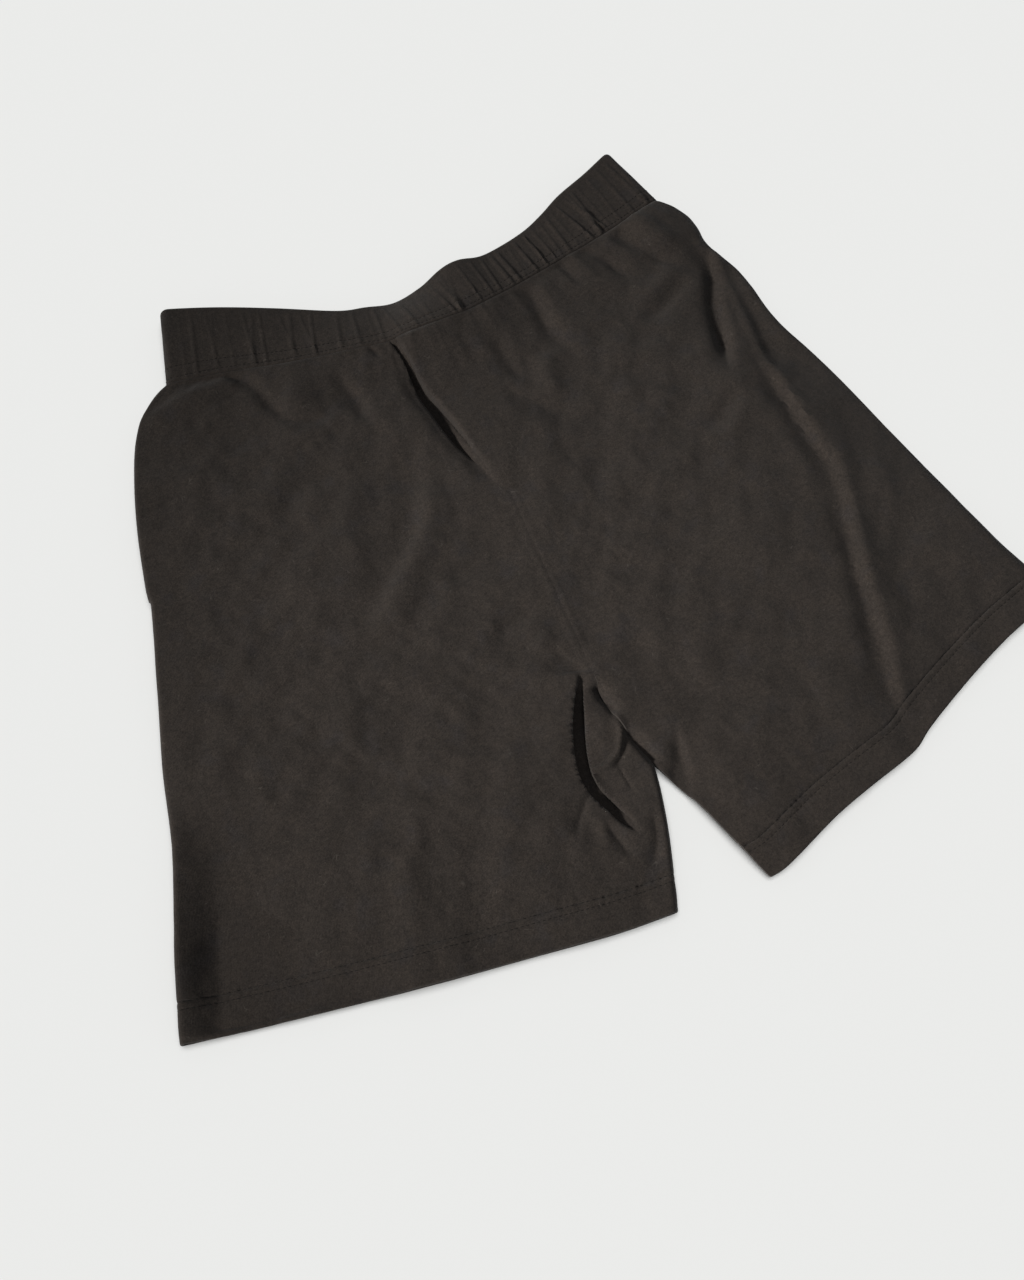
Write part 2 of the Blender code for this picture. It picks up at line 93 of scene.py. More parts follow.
LEFT_HEM = [(48, -143), (62, -140), (100, -125), (130, -116), (163, -107), (180, -97), (215, -80), (250, -65),
            (270, -58), (303, -48)]
CROTCH_V = 0.79  # share of a panel's length at which the crotch is

# Height of the waistband's top fold and of its foot along it, as it buckles: (x, top, foot)
BAND_BUCKLE = [(-190, 15, 11), (-140, 14.5, 11.5), (-100, 13, 12.5), (-60, 11, 15.5), (-38, 10, 15.5),
               (-20, 9.6, 21), (5, 13, 22), (32, 21, 19), (60, 16, 15.5), (100, 14, 13.5), (150, 15, 12.5),
               (190, 16, 12)]


def smooth(value):
    """0 below 0, 1 above 1 and an S curve between."""
    t = np.clip(value, 0.0, 1.0)
    return t * t * (3 - 2 * t)


def unit(vectors):
    return vectors / np.maximum(np.linalg.norm(vectors, axis=-1, keepdims=True), 1e-9)


def run_along(points):
    """Distance along a line of points from its first."""
    return np.concatenate([[0], np.cumsum(np.linalg.norm(np.diff(points, axis=0), axis=1))])


def evenly(share, values):
    """What values that are spread evenly over 0..1 come to at each share."""
    return np.interp(share, np.linspace(0, 1, len(values)), values)


def bell(distance, width, sharp=2.0):
    """1 at no distance, and falling away over a width on both sides."""
    return np.exp(-((distance / width) ** sharp))


def with_height(plan, z):
    """Points in space from points in plan and their heights."""
    return np.concatenate([plan, z[..., None]], -1)


class Curve:
    """A smooth curve through points, run along at an even pace by 0..1, and straight on past its ends."""

    STEPS = 16  # between each point and the next

    def __init__(self, points):
        p = np.array(points, float)
        p = np.vstack([2 * p[0] - p[1], p, 2 * p[-1] - p[-2]])
        s = np.linspace(0, 1, self.STEPS + 1)[:-1][:, None]
        runs = [0.5 * (2 * b + (c - a) * s + (2 * a - 5 * b + 4 * c - d) * s**2 + (3 * b - a - 3 * c + d) * s**3)
                for a, b, c, d in zip(p[:-3], p[1:-2], p[2:-1], p[3:])]
        self.line = np.vstack([*runs, p[-2][None]])
        along = run_along(self.line)
        self.length = along[-1]
        self.along = along / self.length
        self.first = (self.line[1] - self.line[0]) / self.along[1]
        self.last = (self.line[-1] - self.line[-2]) / (1 - self.along[-2])

    def __call__(self, t):
        t = np.asarray(t, float)
        inside = np.stack([np.interp(t, self.along, column) for column in self.line.T], -1)
        return inside + np.minimum(t, 0)[..., None] * self.first + np.maximum(t - 1, 0)[..., None] * self.last


class Waves:
    """Sine waves in random directions, added up to an even unevenness of height 1."""

    COUNT = 28

    def __init__(self, length, seed):
        rng = np.random.default_rng(seed)
        turn = rng.uniform(0, 2 * math.pi, self.COUNT)
        number = 2 * math.pi / length * rng.uniform(0.6, 1.5, self.COUNT)
        self.kx, self.ky = np.cos(turn) * number, np.sin(turn) * number
        self.phase = rng.uniform(0, 2 * math.pi, self.COUNT)

    def __call__(self, x, y):
        inner = x[..., None] * self.kx + y[..., None] * self.ky + self.phase
        return np.sin(inner).sum(-1) * math.sqrt(2 / self.COUNT)


class Fold:
    """A ridge, or a crease where its height is below 0, along a smooth line.

    left and right are its widths on the two sides of the line as it runs, taper the shares of its
    length over which it dies away, and sharp the shape of its sides.
    """

    def __init__(self, points, height, left, right, taper=(0.3, 0.3), sharp=2.0):
        curve = Curve(points)
        count = max(8, int(curve.length / 2.5))
        self.share = np.linspace(0, 1, count)
        self.line = curve(self.share)
        self.tangent = unit(np.gradient(self.line, axis=0))
        self.heights = np.atleast_1d(np.array(height, float))
        self.left, self.right, self.taper, self.sharp = left, right, taper, sharp
        self.reach = 2.5 * max(self.left, self.right)

    def place(self, x, y):
        """Where each point is: distance to the line, above 0 on its left, its share, and the way across."""
        p = np.stack([x.ravel(), y.ravel()], -1)
        nearest = np.empty(len(p), int)
        for start in range(0, len(p), 20000):
            part = p[start:start + 20000]
            gap = ((part[:, None] - self.line[None]) ** 2).sum(-1)
            nearest[start:start + 20000] = gap.argmin(1)
        tangent = self.tangent[nearest]
        offset = p - self.line[nearest]
        along = (offset * tangent).sum(-1)
        step = np.linalg.norm(self.line[1] - self.line[0]) * (len(self.share) - 1)
        share = self.share[nearest] + along / step
        across = np.stack([-tangent[:, 1], tangent[:, 0]], -1)
        distance = (offset * across).sum(-1)
        return distance.reshape(x.shape), share.reshape(x.shape), across.reshape(*x.shape, 2)

    def add_to(self, height, shift, x, y):
        """Add this fold's height and its shift in plan, where it reaches."""
        low = self.line.min(0) - self.reach
        high = self.line.max(0) + self.reach
        near = (x > low[0]) & (x < high[0]) & (y > low[1]) & (y < high[1])
        if near.any():
            more, moved = self(x[near], y[near])
            height[near] += more
            shift[near] += moved

    def __call__(self, x, y):
        """The height it adds, and how far it shifts each point in plan."""
        distance, share, _ = self.place(x, y)
        start, end = self.taper
        strength = smooth(share / start) * smooth((1 - share) / end)
        strength = strength * ((share > -0.001) & (share < 1.001))
        width = np.where(distance > 0, self.left, self.right)
        side = bell(np.abs(distance), width, self.sharp)
        height = evenly(share, self.heights)
        return height * side * strength, np.zeros((*x.shape, 2))


class Crease(Fold):
    """A deep fold with steep banks: its depth, its width and how far its left bank rises over its right, all along
    its line."""

    def __init__(self, points, depth, width, step, spread, wall=1.3, lip=0.9):
        super().__init__(points, depth, 1, 1)
        self.width, self.step, self.spread = np.array(width, float), np.array(step, float), spread
        self.wall, self.lip = wall, lip
        self.reach = 2.5 * spread + 10

    def banks(self, x, y):
        """How far past its right bank and past its left bank each point is, 0 to 1, with the distances to both."""
        distance, share, across = self.place(x, y)
        on = smooth(share / 0.03) * smooth((1 - share) / 0.03) * (share > 0) * (share < 1)
        half = evenly(share, self.width) / 2
        past_right = distance + half
        past_left = distance - half
        return smooth(past_right / self.wall + 0.5), smooth(past_left / self.wall + 0.5), past_right, past_left, (
            share, across, on)

    def __call__(self, x, y):
        inside, over, past_right, past_left, (share, across, on) = self.banks(x, y)
        depth = evenly(share, self.heights)
        far = bell(np.maximum(past_left, 0), self.spread)
        height = (-depth * (inside - over) + evenly(share, self.step) * over * far) * on
        strong = np.clip(depth / 6, 0, 1) * on * self.lip
        lips = 1.5 * bell(past_right + 0.9, 1.2) - bell(past_left - 0.9, 1.1)
        return height, (strong * lips)[..., None] * across


# Folds of the front. Where one runs down, its left side is the +X side.
WAIST_CREASE = [(-39, 298), (-31.5, 286), (-28.5, 271), (-28, 256), (-27, 244), (-23.5, 229), (-20.5, 216),
                (-17.5, 203), (-14, 190), (-9, 175), (-5, 155)]
CROTCH_CREASE = [(-7, 14), (-10, 8), (-14, 1), (-19, -10), (-25, -25), (-29, -39), (-30, -51), (-28, -61),
                 (-24, -71), (-20, -80), (-14, -93)]
CROTCH_DEPTH = [0, 5, 9, 10, 10, 10, 10, 9, 7, 3, 0]
CROTCH_WIDTH = [1.6, 7.0, 9.6, 10.8, 11.0, 11.0, 11.0, 10.6, 10.0, 8.0, 2.0]
POCKET_EDGE = [(211, 288), (208, 267), (208, 253), (206, 229), (204, 205), (203, 187), (202, 172)]
LEG_RIDGE = [(203, 182), (205, 168), (206, 157), (207, 140), (209, 112), (211, 95), (210, 80), (206, 63),
             (202, 48), (197, 31), (191, 13), (187, -8), (183, -27), (180, -43), (175, -58), (172, -72),
             (166, -98)]
FOLDS = [
    # the waist's buckle: a sharp crease down from the waistband and the hump beside it
    Crease(WAIST_CREASE, [0, 4, 6, 7.5, 8, 8, 7, 4, 1, 0, 0],
           [1.8, 5.0, 6.6, 7.6, 9.0, 10.8, 11.6, 10.4, 6.0, 2.4, 1.0],
           [0, 0.4, 1.0, 1.6, 2.0, 2.4, 2.6, 2.6, 2.0, 1.2, 0], 50, 1.5, 0.8),
    Fold([(x - 3, y) for x, y in WAIST_CREASE], [-1.0, -2.8, -3.8, -3.8, -2.8, -1.0], 3, 7, (0.1, 0.3)),
    Fold([(-18, 192), (-14, 180), (-9, 165), (-5, 150)], -1.6, 3, 5, (0.3, 0.5)),
    Fold([(-51, 295), (-47, 287), (-43, 277)], -2.4, 2.4, 3.0, (0.1, 0.4), 1.5),
    Fold([(-61, 304), (-58, 295), (-56, 286)], -1.4, 2.2, 2.2, (0.1, 0.5), 1.5),
    Fold([(-77, 288), (-75, 268), (-71, 257), (-70, 242), (-66, 222)], [-1.2, -1.6, -2.6, -2.2, -1.2], 4.5, 6,
         (0.2, 0.4)),
    Fold([(-66, 290), (-62, 262), (-58, 235), (-52, 205)], 1.2, 9, 7, (0.3, 0.4)),
    # the soft ring below the right end of the waistband
    Fold([(-189, 311), (-177, 312), (-163, 311), (-152, 309), (-141, 304), (-135, 297), (-131, 288), (-128, 278),
          (-121, 265), (-116, 257), (-102, 252), (-86, 252), (-72, 255)],
         [-1.4, -2.4, -3.2, -3.4, -2.4, -2.0, -1.4], 4.2, 5.5, (0.12, 0.2)),
    Fold([(-157, 305), (-149, 302), (-143, 293)], 1.5, 4, 4, (0.3, 0.4)),
    Fold([(-122, 276), (-108, 270), (-90, 268)], 1.6, 10, 9, (0.3, 0.4)),
    Fold([(-215, 280), (-200, 294), (-180, 300), (-162, 299), (-150, 290)], 3.2, 6, 12, (0.3, 0.4)),
    # long slack waves down the right leg
    Fold([(-50, 225), (-56, 195), (-65, 165), (-78, 142), (-98, 120), (-126, 98), (-150, 86)],
         [-0.8, -1.6, -2.2, -2.2, -1.8, -1.0], 8, 15),
    Fold([(-42, 200), (-48, 170), (-58, 150), (-73, 130), (-92, 109), (-112, 88), (-136, 70)],
         [0.8, 1.6, 2.0, 2.0, 1.4, 0.8], 13, 8),
    Fold([(-60, 116), (-74, 100), (-98, 84), (-124, 68)], -1.6, 10, 9),
    Fold([(-12, 68), (-26, 63), (-38, 60), (-50, 52)], -1.8, 5, 6, (0.3, 0.4)),
    Fold([(-12, 47), (-20, 43), (-31, 37)], 1.8, 5, 5, (0.3, 0.4)),
    Fold([(-10, 30), (-18, 25), (-28, 20)], -1.6, 6, 6, (0.2, 0.4)),
    Fold([(-92, 208), (-113, 206), (-130, 201), (-152, 190)], -1.3, 8, 9),
    Fold([(-150, 50), (-118, 30), (-86, 8), (-62, -25)], -1.1, 14, 14),
    Fold([(-120, 60), (-96, 30), (-76, -5)], 1.0, 12, 12),
    Fold([(-170, 150), (-150, 120), (-146, 80)], 0.9, 14, 14),
    Fold([(-238, 40), (-244, 0), (-256, -50), (-268, -112)], [-1.0, -4.6, -8.4, -8.0], 60, 24, (0.3, 0.05)),
    Fold([(-268, 40), (-276, 0), (-289, -50), (-301, -106)], [0.5, 2.6, 4.2, 4.0], 14, 14, (0.3, 0.05)),
    # the front between the buckle and the left leg
    Fold([(20, 296), (25, 284), (30, 270)], -1.6, 9, 8, (0.2, 0.5)),
    Fold([(10, 285), (15, 262), (16, 240)], -1.3, 5, 5, (0.3, 0.5)),
    Fold([(38, 272), (36, 250), (41, 226)], -1.8, 6, 6),
    Fold([(73, 300), (75, 280), (75, 262), (78, 240)], [-3.4, -4.0, -2.8], 4.0, 8, (0.12, 0.4)),
    Fold([(60, 246), (59, 230), (58, 216), (57, 202)], 2.8, 18, 6),
    Fold([(82, 303), (84, 280), (86, 250), (92, 225)], 1.6, 8, 6, (0.15, 0.5)),
    Fold([(12, 232), (30, 220), (48, 200), (66, 192)], -1.3, 7, 7, (0.4, 0.4)),
    # gathers pulled out of the left end of the waistband
    Fold([(101, 312), (106, 298), (112, 280)], -2.2, 3.5, 4, (0.1, 0.5), 1.8),
    Fold([(111, 316), (118, 298), (124, 276)], 1.6, 4, 4, (0.1, 0.5)),
    Fold([(122, 318), (132, 303), (142, 285), (148, 268)], -2.6, 4, 5, (0.1, 0.5), 1.8),
    Fold([(138, 318), (150, 300), (158, 282)], 1.6, 4, 5, (0.15, 0.5)),
    Fold([(150, 320), (162, 302), (174, 284), (184, 270)], -2.4, 4, 5, (0.1, 0.4), 1.8),
    Fold([(164, 325), (178, 304), (190, 286), (197, 272)], 1.6, 7, 6, (0.1, 0.3)),
    Fold([(167, 333), (172, 318), (175, 302), (176, 284)], [3.6, 6.8, 7.0, 4.0], 26, 13, (0.1, 0.3), 1.5),
    Fold([(184, 268), (170, 257), (158, 250), (146, 245), (130, 242)], [-1.6, -2.4, -2.2, -1.4], 6, 7, (0.2, 0.4)),
    Fold([(182, 280), (168, 268), (150, 260), (134, 258)], [0.8, 1.4, 1.0], 7, 7, (0.3, 0.4)),
    # the pull past the left pocket, and the pocket's mouth
    Fold([(210, 290), (206, 270), (202, 256), (197, 244), (193, 230), (189, 216), (185, 201), (180, 188),
          (174, 172)], [-3.4, -7.0, -9.0, -8.4, -4.0], 2.6, 8.5, (0.12, 0.3)),
    Fold([(x + 1, y) for x, y in POCKET_EDGE], [1.4, 2.2, 2.2, 2.2, 2.2], 6, 2.0, (0.1, 0.02), 1.5),
    Fold([(213, 272), (213, 252), (215, 234), (215, 214), (213, 196), (210, 180), (207, 160)],
         [-1.5, -3.0, -3.2, -2.8, -2.0, -1.0], 9, 9, (0.12, 0.3)),
    # the long ridge down to the hem, and the slope to its left
    Fold([(x + 1, y) for x, y in LEG_RIDGE], [2.4, 3.2, 3.6, 3.0, 3.2, 4.6, 5.0, 4.8, 4.2, 3.4, 2.0], 12, 3.0,
         (0.06, 0.12), 1.35),
    Fold([(x - 3.5, y) for x, y in LEG_RIDGE], [-1.6, -3.6, -4.6, -3.0, -3.0, -4.2, -4.6, -4.0, -3.0, -2.0, -0.8],
         2.2, 10, (0.08, 0.15)),
    Fold([(228, 222), (236, 190), (249, 150), (263, 100), (282, 50), (298, 10)], [-3.0, -6.5, -7.0, -6.0, -3.0],
         20, 32, (0.2, 0.3)),
    Fold([(178, 166), (166, 159), (155, 151), (143, 145), (128, 142)], [-1.0, -1.8, -1.8, -1.0], 5, 7,
         (0.25, 0.4)),
    Fold([(180, 156), (169, 147), (161, 139), (150, 130)], 1.6, 5.5, 5.5, (0.3, 0.4)),
    Fold([(150, 212), (122, 204), (96, 208)], -1.3, 8, 8),
    Fold([(136, 190), (118, 172), (96, 168)], 1.0, 9, 9),
    Fold([(120, 160), (130, 136), (124, 108)], -0.9, 10, 10),
    Fold([(60, 120), (90, 95), (110, 60)], -0.9, 14, 14),
    Fold([(60, 20), (75, -30), (80, -80)], 1.1, 12, 12),
    Fold([(110, 10), (118, -40), (112, -85)], -0.9, 12, 12),
    Fold([(216, 10), (214, -30), (220, -70)], -1.2, 14, 14),
    # the crotch: a deep fold of the right leg, and the inner thigh that shows beside it
    Crease(CROTCH_CREASE, CROTCH_DEPTH, CROTCH_WIDTH, [0, 0], 10, 1.0, 1.3),
    Fold([(-4, 36), (-7, 26), (-10, 14)], [-0.6, -2.0, -3.0], 7, 9, (0.4, 0.1)),
    Fold([(-2, 5), (0.5, -4), (3, -12), (5, -20)], [-4.0, -6.5, -6.0, -3.0], 3.0, 3.6, (0.1, 0.2)),
    Fold([(5, -28), (8, -36), (11, -45), (14, -56)], [-3.6, -6.5, -6.5, -5.0], 3.0, 3.8, (0.15, 0.1)),
    Fold([(-31, -56), (-39, -65), (-46, -73), (-52, -83)], [-1.8, -1.6, -1.0], 2.2, 2.4, (0.1, 0.4), 1.6),
    Fold([(-31, -78), (-28, -89), (-26, -98), (-23, -106)], [-1.5, -1.9, -1.5], 3.0, 3.0, (0.25, 0.3), 1.8),
    Fold([(-36, -66), (-34, -80), (-35, -94)], 1.2, 4, 4),
    Fold([(1, -19), (1, -27), (-1, -34), (-6, -41), (-15, -46), (-24, -47), (-24, -54), (-21, -62), (-20, -70)],
         [2.0, 2.4, 2.2, 1.8, 1.2], 1.9, 1.7, (0.12, 0.3)),
    Fold([(3, -19), (5, -26), (5, -32)], 1.5, 1.5, 1.3, (0.2, 0.2)),
    Fold([(2, -33), (-1, -39), (-6, -45), (-14, -50)], [-1.2, -1.7, -1.7, -1.0], 2.4, 2.0, (0.15, 0.3)),
    Fold([(-9, -49), (-8, -59), (-7, -68)], -1.0, 1.0, 1.0, (0.2, 0.3)),
    Fold([(-1, -80), (-4, -92), (-7, -101), (-13, -109), (-22, -114)], [-1.6, -2.4, -2.0, -1.2], 3, 4,
         (0.25, 0.35), 1.8),
    Fold([(0, -90), (-3, -106), (-7, -118), (-11, -131)], 1.2, 3, 4, (0.3, 0.2)),
    Fold([(34, -34), (32, -48), (30, -60), (27, -71), (23, -86)], [-2.0, -4.6, -7.0, -7.0], 1.8, 7, (0.35, 0.05)),
]

RIPPLES = ((0.75, Waves(88, 11)), (0.30, Waves(36, 12)), (0.10, Waves(14, 13)))


class Gathers:
    """Uneven small pleats side by side: a height of 0 to 1 by the distance along them."""

    def __init__(self, length, spacing, seed, thick=(0.13, 0.3)):
        rng = np.random.default_rng(seed)
        places = []
        at = rng.uniform(0, spacing)
        while at < length:
            places.append(at)
            at += spacing * rng.uniform(0.5, 1.6)
        self.places = np.array(places)
        self.sizes = rng.uniform(0.25, 1.0, len(places))
        self.widths = spacing * rng.uniform(*thick, len(places))
        self.slants = rng.normal(0, 0.10, len(places))

    def __call__(self, along, down):
        """The height at a distance along and a distance down the pleats."""
        total = np.zeros(np.broadcast(along, down).shape)
        for place, size, width, slant in zip(self.places, self.sizes, self.widths, self.slants):
            total += size * bell(along - place - slant * down, width)
        return total


band_top = Curve(BAND_TOP)
band_foot = Curve(BAND_FOOT)
BAND_LENGTH = band_foot.length
CENTRE_A = float(np.interp(0.0, band_foot.line[:, 0], band_foot.along))
TUCK_INSET = (BAND_ROOM + CASING / 2) / BAND_LENGTH
BAND_TURN = 5.4  # how far the waistband's ends turn round
# the gathers of the casing over its elastic, and the looser ones they leave in the front below it
band_pleats = Gathers(2.2 * BAND_LENGTH, 8.0, 21, (0.10, 0.22))
waist_pleats = Gathers(2.2 * BAND_LENGTH, 11.0, 22)


def band_plan(a, depth):
    """Where the waistband is in plan, by the share of the way along it and the depth below its top fold."""
    share = (np.asarray(depth) / BAND_DEPTH)[..., None]
    return band_top(a) * (1 - share) + band_foot(a) * share


def buckle(a, which):
    """Height of the front of the waistband at its top fold (1) or its foot (2)."""
    table = np.array(BAND_BUCKLE, float)
    x = band_foot(a)[..., 0]
    line = Curve(table[:, [0, which]])
    return np.interp(x, line.line[:, 0], line.line[:, 1])


def band_front_z(a, depth):
    """Height of the waistband's front."""
    share = np.clip(depth / BAND_DEPTH, 0, 1)
    top, foot = buckle(a, 1), buckle(a, 2)
    bulge = 0.09 * np.abs(foot - top) + 0.4
    return top * (1 - share) + foot * share + bulge * np.sin(math.pi * share)


class Leg:
    """One leg's outline: u runs from its inner edge to its side, and v from the waist seam to the hem."""

    def __init__(self, inseam, side, hem, sign):
        self.sign = sign
        self.corner_a = 1 - TUCK_INSET if sign > 0 else TUCK_INSET
        ends = self.waist(np.array([0.0, 1.0]))
        self.centre = Curve([ends[0], *CENTRE_SEAM])
        self.thigh = Curve(inseam)
        self.outer = Curve([ends[1], *side])
        self.foot = Curve(hem)
        self.widths = np.linspace(0, 1, 101)
        self.width_at = np.linalg.norm(self.at(1.0, self.widths) - self.at(0.0, self.widths), axis=1)

    def band_a(self, u):
        return CENTRE_A + (self.corner_a - CENTRE_A) * u

    def waist(self, u):
        return band_foot(self.band_a(np.asarray(u, float)))

    def inner(self, v):
        down = self.thigh((v - CROTCH_V) / (1 - CROTCH_V))
        return np.where((v < CROTCH_V)[..., None], self.centre(np.minimum(v / CROTCH_V, 1)), down)

    def at(self, u, v):
        """The point in plan at u and v, blended from the four sides of the outline."""
        u, v = np.broadcast_arrays(np.asarray(u, float), np.asarray(v, float))
        a, b = u[..., None], v[..., None]
        zero, one = np.zeros_like(u), np.ones_like(u)
        corners = ((1 - a) * (1 - b) * self.waist(zero) + a * (1 - b) * self.waist(one)
                   + (1 - a) * b * self.foot(zero) + a * b * self.foot(one))
        return (1 - b) * self.waist(u) + b * self.foot(u) + (1 - a) * self.inner(v) + a * self.outer(v) - corners

    def width(self, v):
        return np.interp(v, self.widths, self.width_at)


LEGS = {"right": Leg(RIGHT_INSEAM, RIGHT_SIDE, RIGHT_HEM, -1), "left": Leg(LEFT_INSEAM, LEFT_SIDE, LEFT_HEM, 1)}


def side_seam_z(leg, below):
    """Height of the seam between front and back along the side: it starts in the middle of the waistband's end."""
    end = (buckle(np.array(leg.corner_a), 2) + BAND_BACK_Z) / 2
    return SIDE_SEAM_Z + (end - SIDE_SEAM_Z) * (1 - smooth(below / 30))


def rise(distance, radius):
    """A rounded edge: 0 at no distance, and 1 from a radius on."""
    t = np.clip(distance / radius, 0, 1)
    return np.sqrt(1 - (1 - t) ** 2)


def front_free(x, y, base, below, along):
    """Height of the front layer away from its edges, and how far its folds shift it in plan."""
    relief = np.zeros(x.shape)
    shift = np.zeros((*x.shape, 2))
    for height, waves in RIPPLES:
        relief += height * waves(x, y)
    for fold in FOLDS:
        fold.add_to(relief, shift, x, y)
    foot = buckle(along / BAND_LENGTH, 2)
    strong = 0.35 + 0.65 * smooth((x - 30) / 90) + 0.35 * smooth((x + 60) / 20) * smooth((40 - x) / 20)
    pleats = waist_pleats(along, below) * strong * bell(below, 24, 1.2)
    relief += 1.3 * (pleats - 0.35 * strong * np.exp(-below / 24))
    swell = SEAM_SWELL * smooth(below / 2.6) * bell(below, 30)
    base = base + (foot - base) * bell(below, 26, 1.7)
    return base + swell + relief * smooth(below / 5), shift * smooth(below / 8)[..., None]


# Shape of the crotch: the right leg's inner edge goes down into the fold, beside the left leg's
CROTCH_Y = -54.0
crotch_crease = Crease(CROTCH_CREASE, CROTCH_DEPTH, CROTCH_WIDTH, [0, 0], 10, 2.4)


def open_edge(leg, y):
    """0 where a leg's inner edge is sewn to the other leg, and 1 where it is folded from front to back."""
    return smooth((CROTCH_Y + 12 - y) / 12) if leg.sign < 0 else smooth((4 - y) / 14)


def inner_thigh(x, y, z):
    """The low lap of the right leg between its deep fold and the seam."""
    _, over, _, _, (share, _, _) = crotch_crease.banks(x, y)
    inside = over * smooth(share / 0.12) * smooth((1 - share) / 0.25)
    rounded = np.exp(-(((x + 11) / 9) ** 2 + ((y + 25) / 15) ** 2))
    lap = 8.4 + 1.8 * rounded + 0.5 * smooth((-y - 55) / 30)
    return z + (lap - FRONT_Z) * inside


def stations(length, fine, step):
    """Places from 0 to length: every step, and closer within each (from, to, step) of fine."""
    marks = list(np.linspace(0, length, int(round(length / step)) + 1))
    for low, high, small in fine:
        marks = [m for m in marks if not low - 0.4 * small < m < high + 0.4 * small]
        marks += list(np.linspace(low, high, int(round((high - low) / small)) + 1))
    return np.array(sorted(marks))


EDGE_STEPS = np.array([0, 0.3, 0.9, 1.8, 2.9, 4.2, 5.8, 7.6])  # of the columns nearest to a folded edge
# How far apart a panel's rows are, where they are closer than that (from, to, step), and its columns
FRONT_STEP, BACK_STEP = 2.3, 6.0
FRONT_ROWS = [(0, 5, 1.25), (5, 150, 1.9), (PANEL_LENGTH - 24, PANEL_LENGTH - 14, 0.7),
              (PANEL_LENGTH - 2, PANEL_LENGTH, 0.7)]
CROTCH_ROWS = (258, 396, 1.2)
BACK_ROWS = [(0, 16, 3), (PANEL_LENGTH - 26, PANEL_LENGTH - 12, 1.4), (PANEL_LENGTH - 2, PANEL_LENGTH, 0.7)]
FRONT_COLUMNS = {-1: 150, 1: 110}
BACK_COLUMNS = 50


def grid_of(leg, columns, fine_rows, step):
    """u and v of a panel's mesh: columns set close at the folded edges, rows close at the seams."""
    down = stations(PANEL_LENGTH, fine_rows, step)
    v = np.repeat((down / PANEL_LENGTH)[:, None], columns + 2 * len(EDGE_STEPS) - 1, 1)
    width = leg.width(v[:, :1]) - CENTRE_GAP - SEAM_GAP
    near = EDGE_STEPS[None] / width
    fine = columns * 36 // 100
    spread = np.concatenate([np.linspace(0, 0.2, fine + 1), np.linspace(0.2, 1, columns - fine + 1)[1:]])
    middle = near[:, -1:] + (1 - 2 * near[:, -1:]) * spread[None]
    u = np.hstack([near[:, :-1], middle, 1 - near[:, -2::-1]])
    start, end = CENTRE_GAP / leg.width(v), 1 - SEAM_GAP / leg.width(v)
    return start + u * (end - start), v


def front_surface(leg):
    """The middle of a front panel below the waist seam, and its u and v."""
    rows = FRONT_ROWS + [CROTCH_ROWS] if leg.sign < 0 else FRONT_ROWS
    u, v = grid_of(leg, FRONT_COLUMNS[leg.sign], rows, FRONT_STEP)
    plan = leg.at(u, v)
    width = leg.width(v)
    x, y = plan[..., 0], plan[..., 1]
    below, above_hem = v * PANEL_LENGTH, (1 - v) * PANEL_LENGTH
    to_inner, to_side = u * width, (1 - u) * width

    base = FRONT_Z + (HEM_FRONT_Z - FRONT_Z) * (1 - smooth(above_hem / 70))
    if leg.sign > 0:
        thin = smooth((-20 - y) / 40) * (1 - smooth(to_inner / 34)) * smooth(to_side / 30)
        base = base + (INNER_THIGH_Z - base) * thin
    free, shift = front_free(x, y, base, below, leg.band_a(u) * BAND_LENGTH)
    # the seam between the legs: a fine groove with the turned-back allowances along it
    flat_seam = smooth((y + 8) / 30) * smooth((below - 2) / 10)
    groove = -0.06 * bell(to_inner, 0.8)
    allowance = 0.24 * bell(to_inner - 2.7, 1.5) * smooth((170 - y) / 40)
    free = free + flat_seam * (groove + allowance)
    shift *= (smooth(to_inner / 6) * smooth(to_side / 6))[..., None]

    if leg.sign < 0:
        free = inner_thigh(x, y, free)
        free = np.maximum(free, LOWEST_FRONT_Z + 0.2)
    side = side_seam_z(leg, below) + SEAM_GAP
    radius = BAND_TURN + (SIDE_RADIUS[leg.sign] - BAND_TURN) * smooth(below / 30)
    z = side + (np.maximum(free, side + 0.6) - side) * rise(to_side, radius)

    opened = open_edge(leg, y)
    foot = SIDE_SEAM_Z + SEAM_GAP
    wall = 1 - opened * (1 - rise(to_inner, INNER_RADIUS[leg.sign]))
    if leg.sign > 0:
        # the leg's inner edge is rolled under
        shift[..., 0] += opened * (3.6 * (1 - wall) - 2.2 * np.exp(-to_inner / 5))
    z = foot + (z - foot) * wall
    return with_height(plan + shift, np.maximum(z, LOWEST_FRONT_Z)), u, v


def normals_of(middle, wrap=False):
    """Unit normals of a grid of points, on the side from which columns run left to right as rows come down."""
    across = np.roll(middle, -1, 1) - np.roll(middle, 1, 1) if wrap else np.gradient(middle, axis=1)
    return unit(np.cross(np.gradient(middle, axis=0), across))


def outside_normals(middle, up):
    """The normals of a panel on its outside: upwards for a front, and downwards for a back."""
    normal = normals_of(middle)
    return normal if (normal[..., 2].mean() > 0) == up else -normal


def to_frame(points):
    """Metres in the frame's coordinates from millimetres from the crotch."""
    return (np.asarray(points) - OUTLINE_CENTRE) * MM


SHARP_ANGLE = math.radians(55)  # faces that meet at more than this are shaded apart


def placed(name, data):
    """A new object in the scene."""
    obj = bpy.data.objects.new(name, data)
    bpy.context.scene.collection.objects.link(obj)
    return obj


def new_mesh(name, vertices, faces):
    mesh = bpy.data.meshes.new(name)
    mesh.from_pydata(vertices, [], faces)
    return mesh


def square(name, half, z=0.0):
    """A flat square, in metres."""
    corners = [(-half, -half, z), (half, -half, z), (half, half, z), (-half, half, z)]
    return new_mesh(name, corners, [(0, 1, 2, 3)])


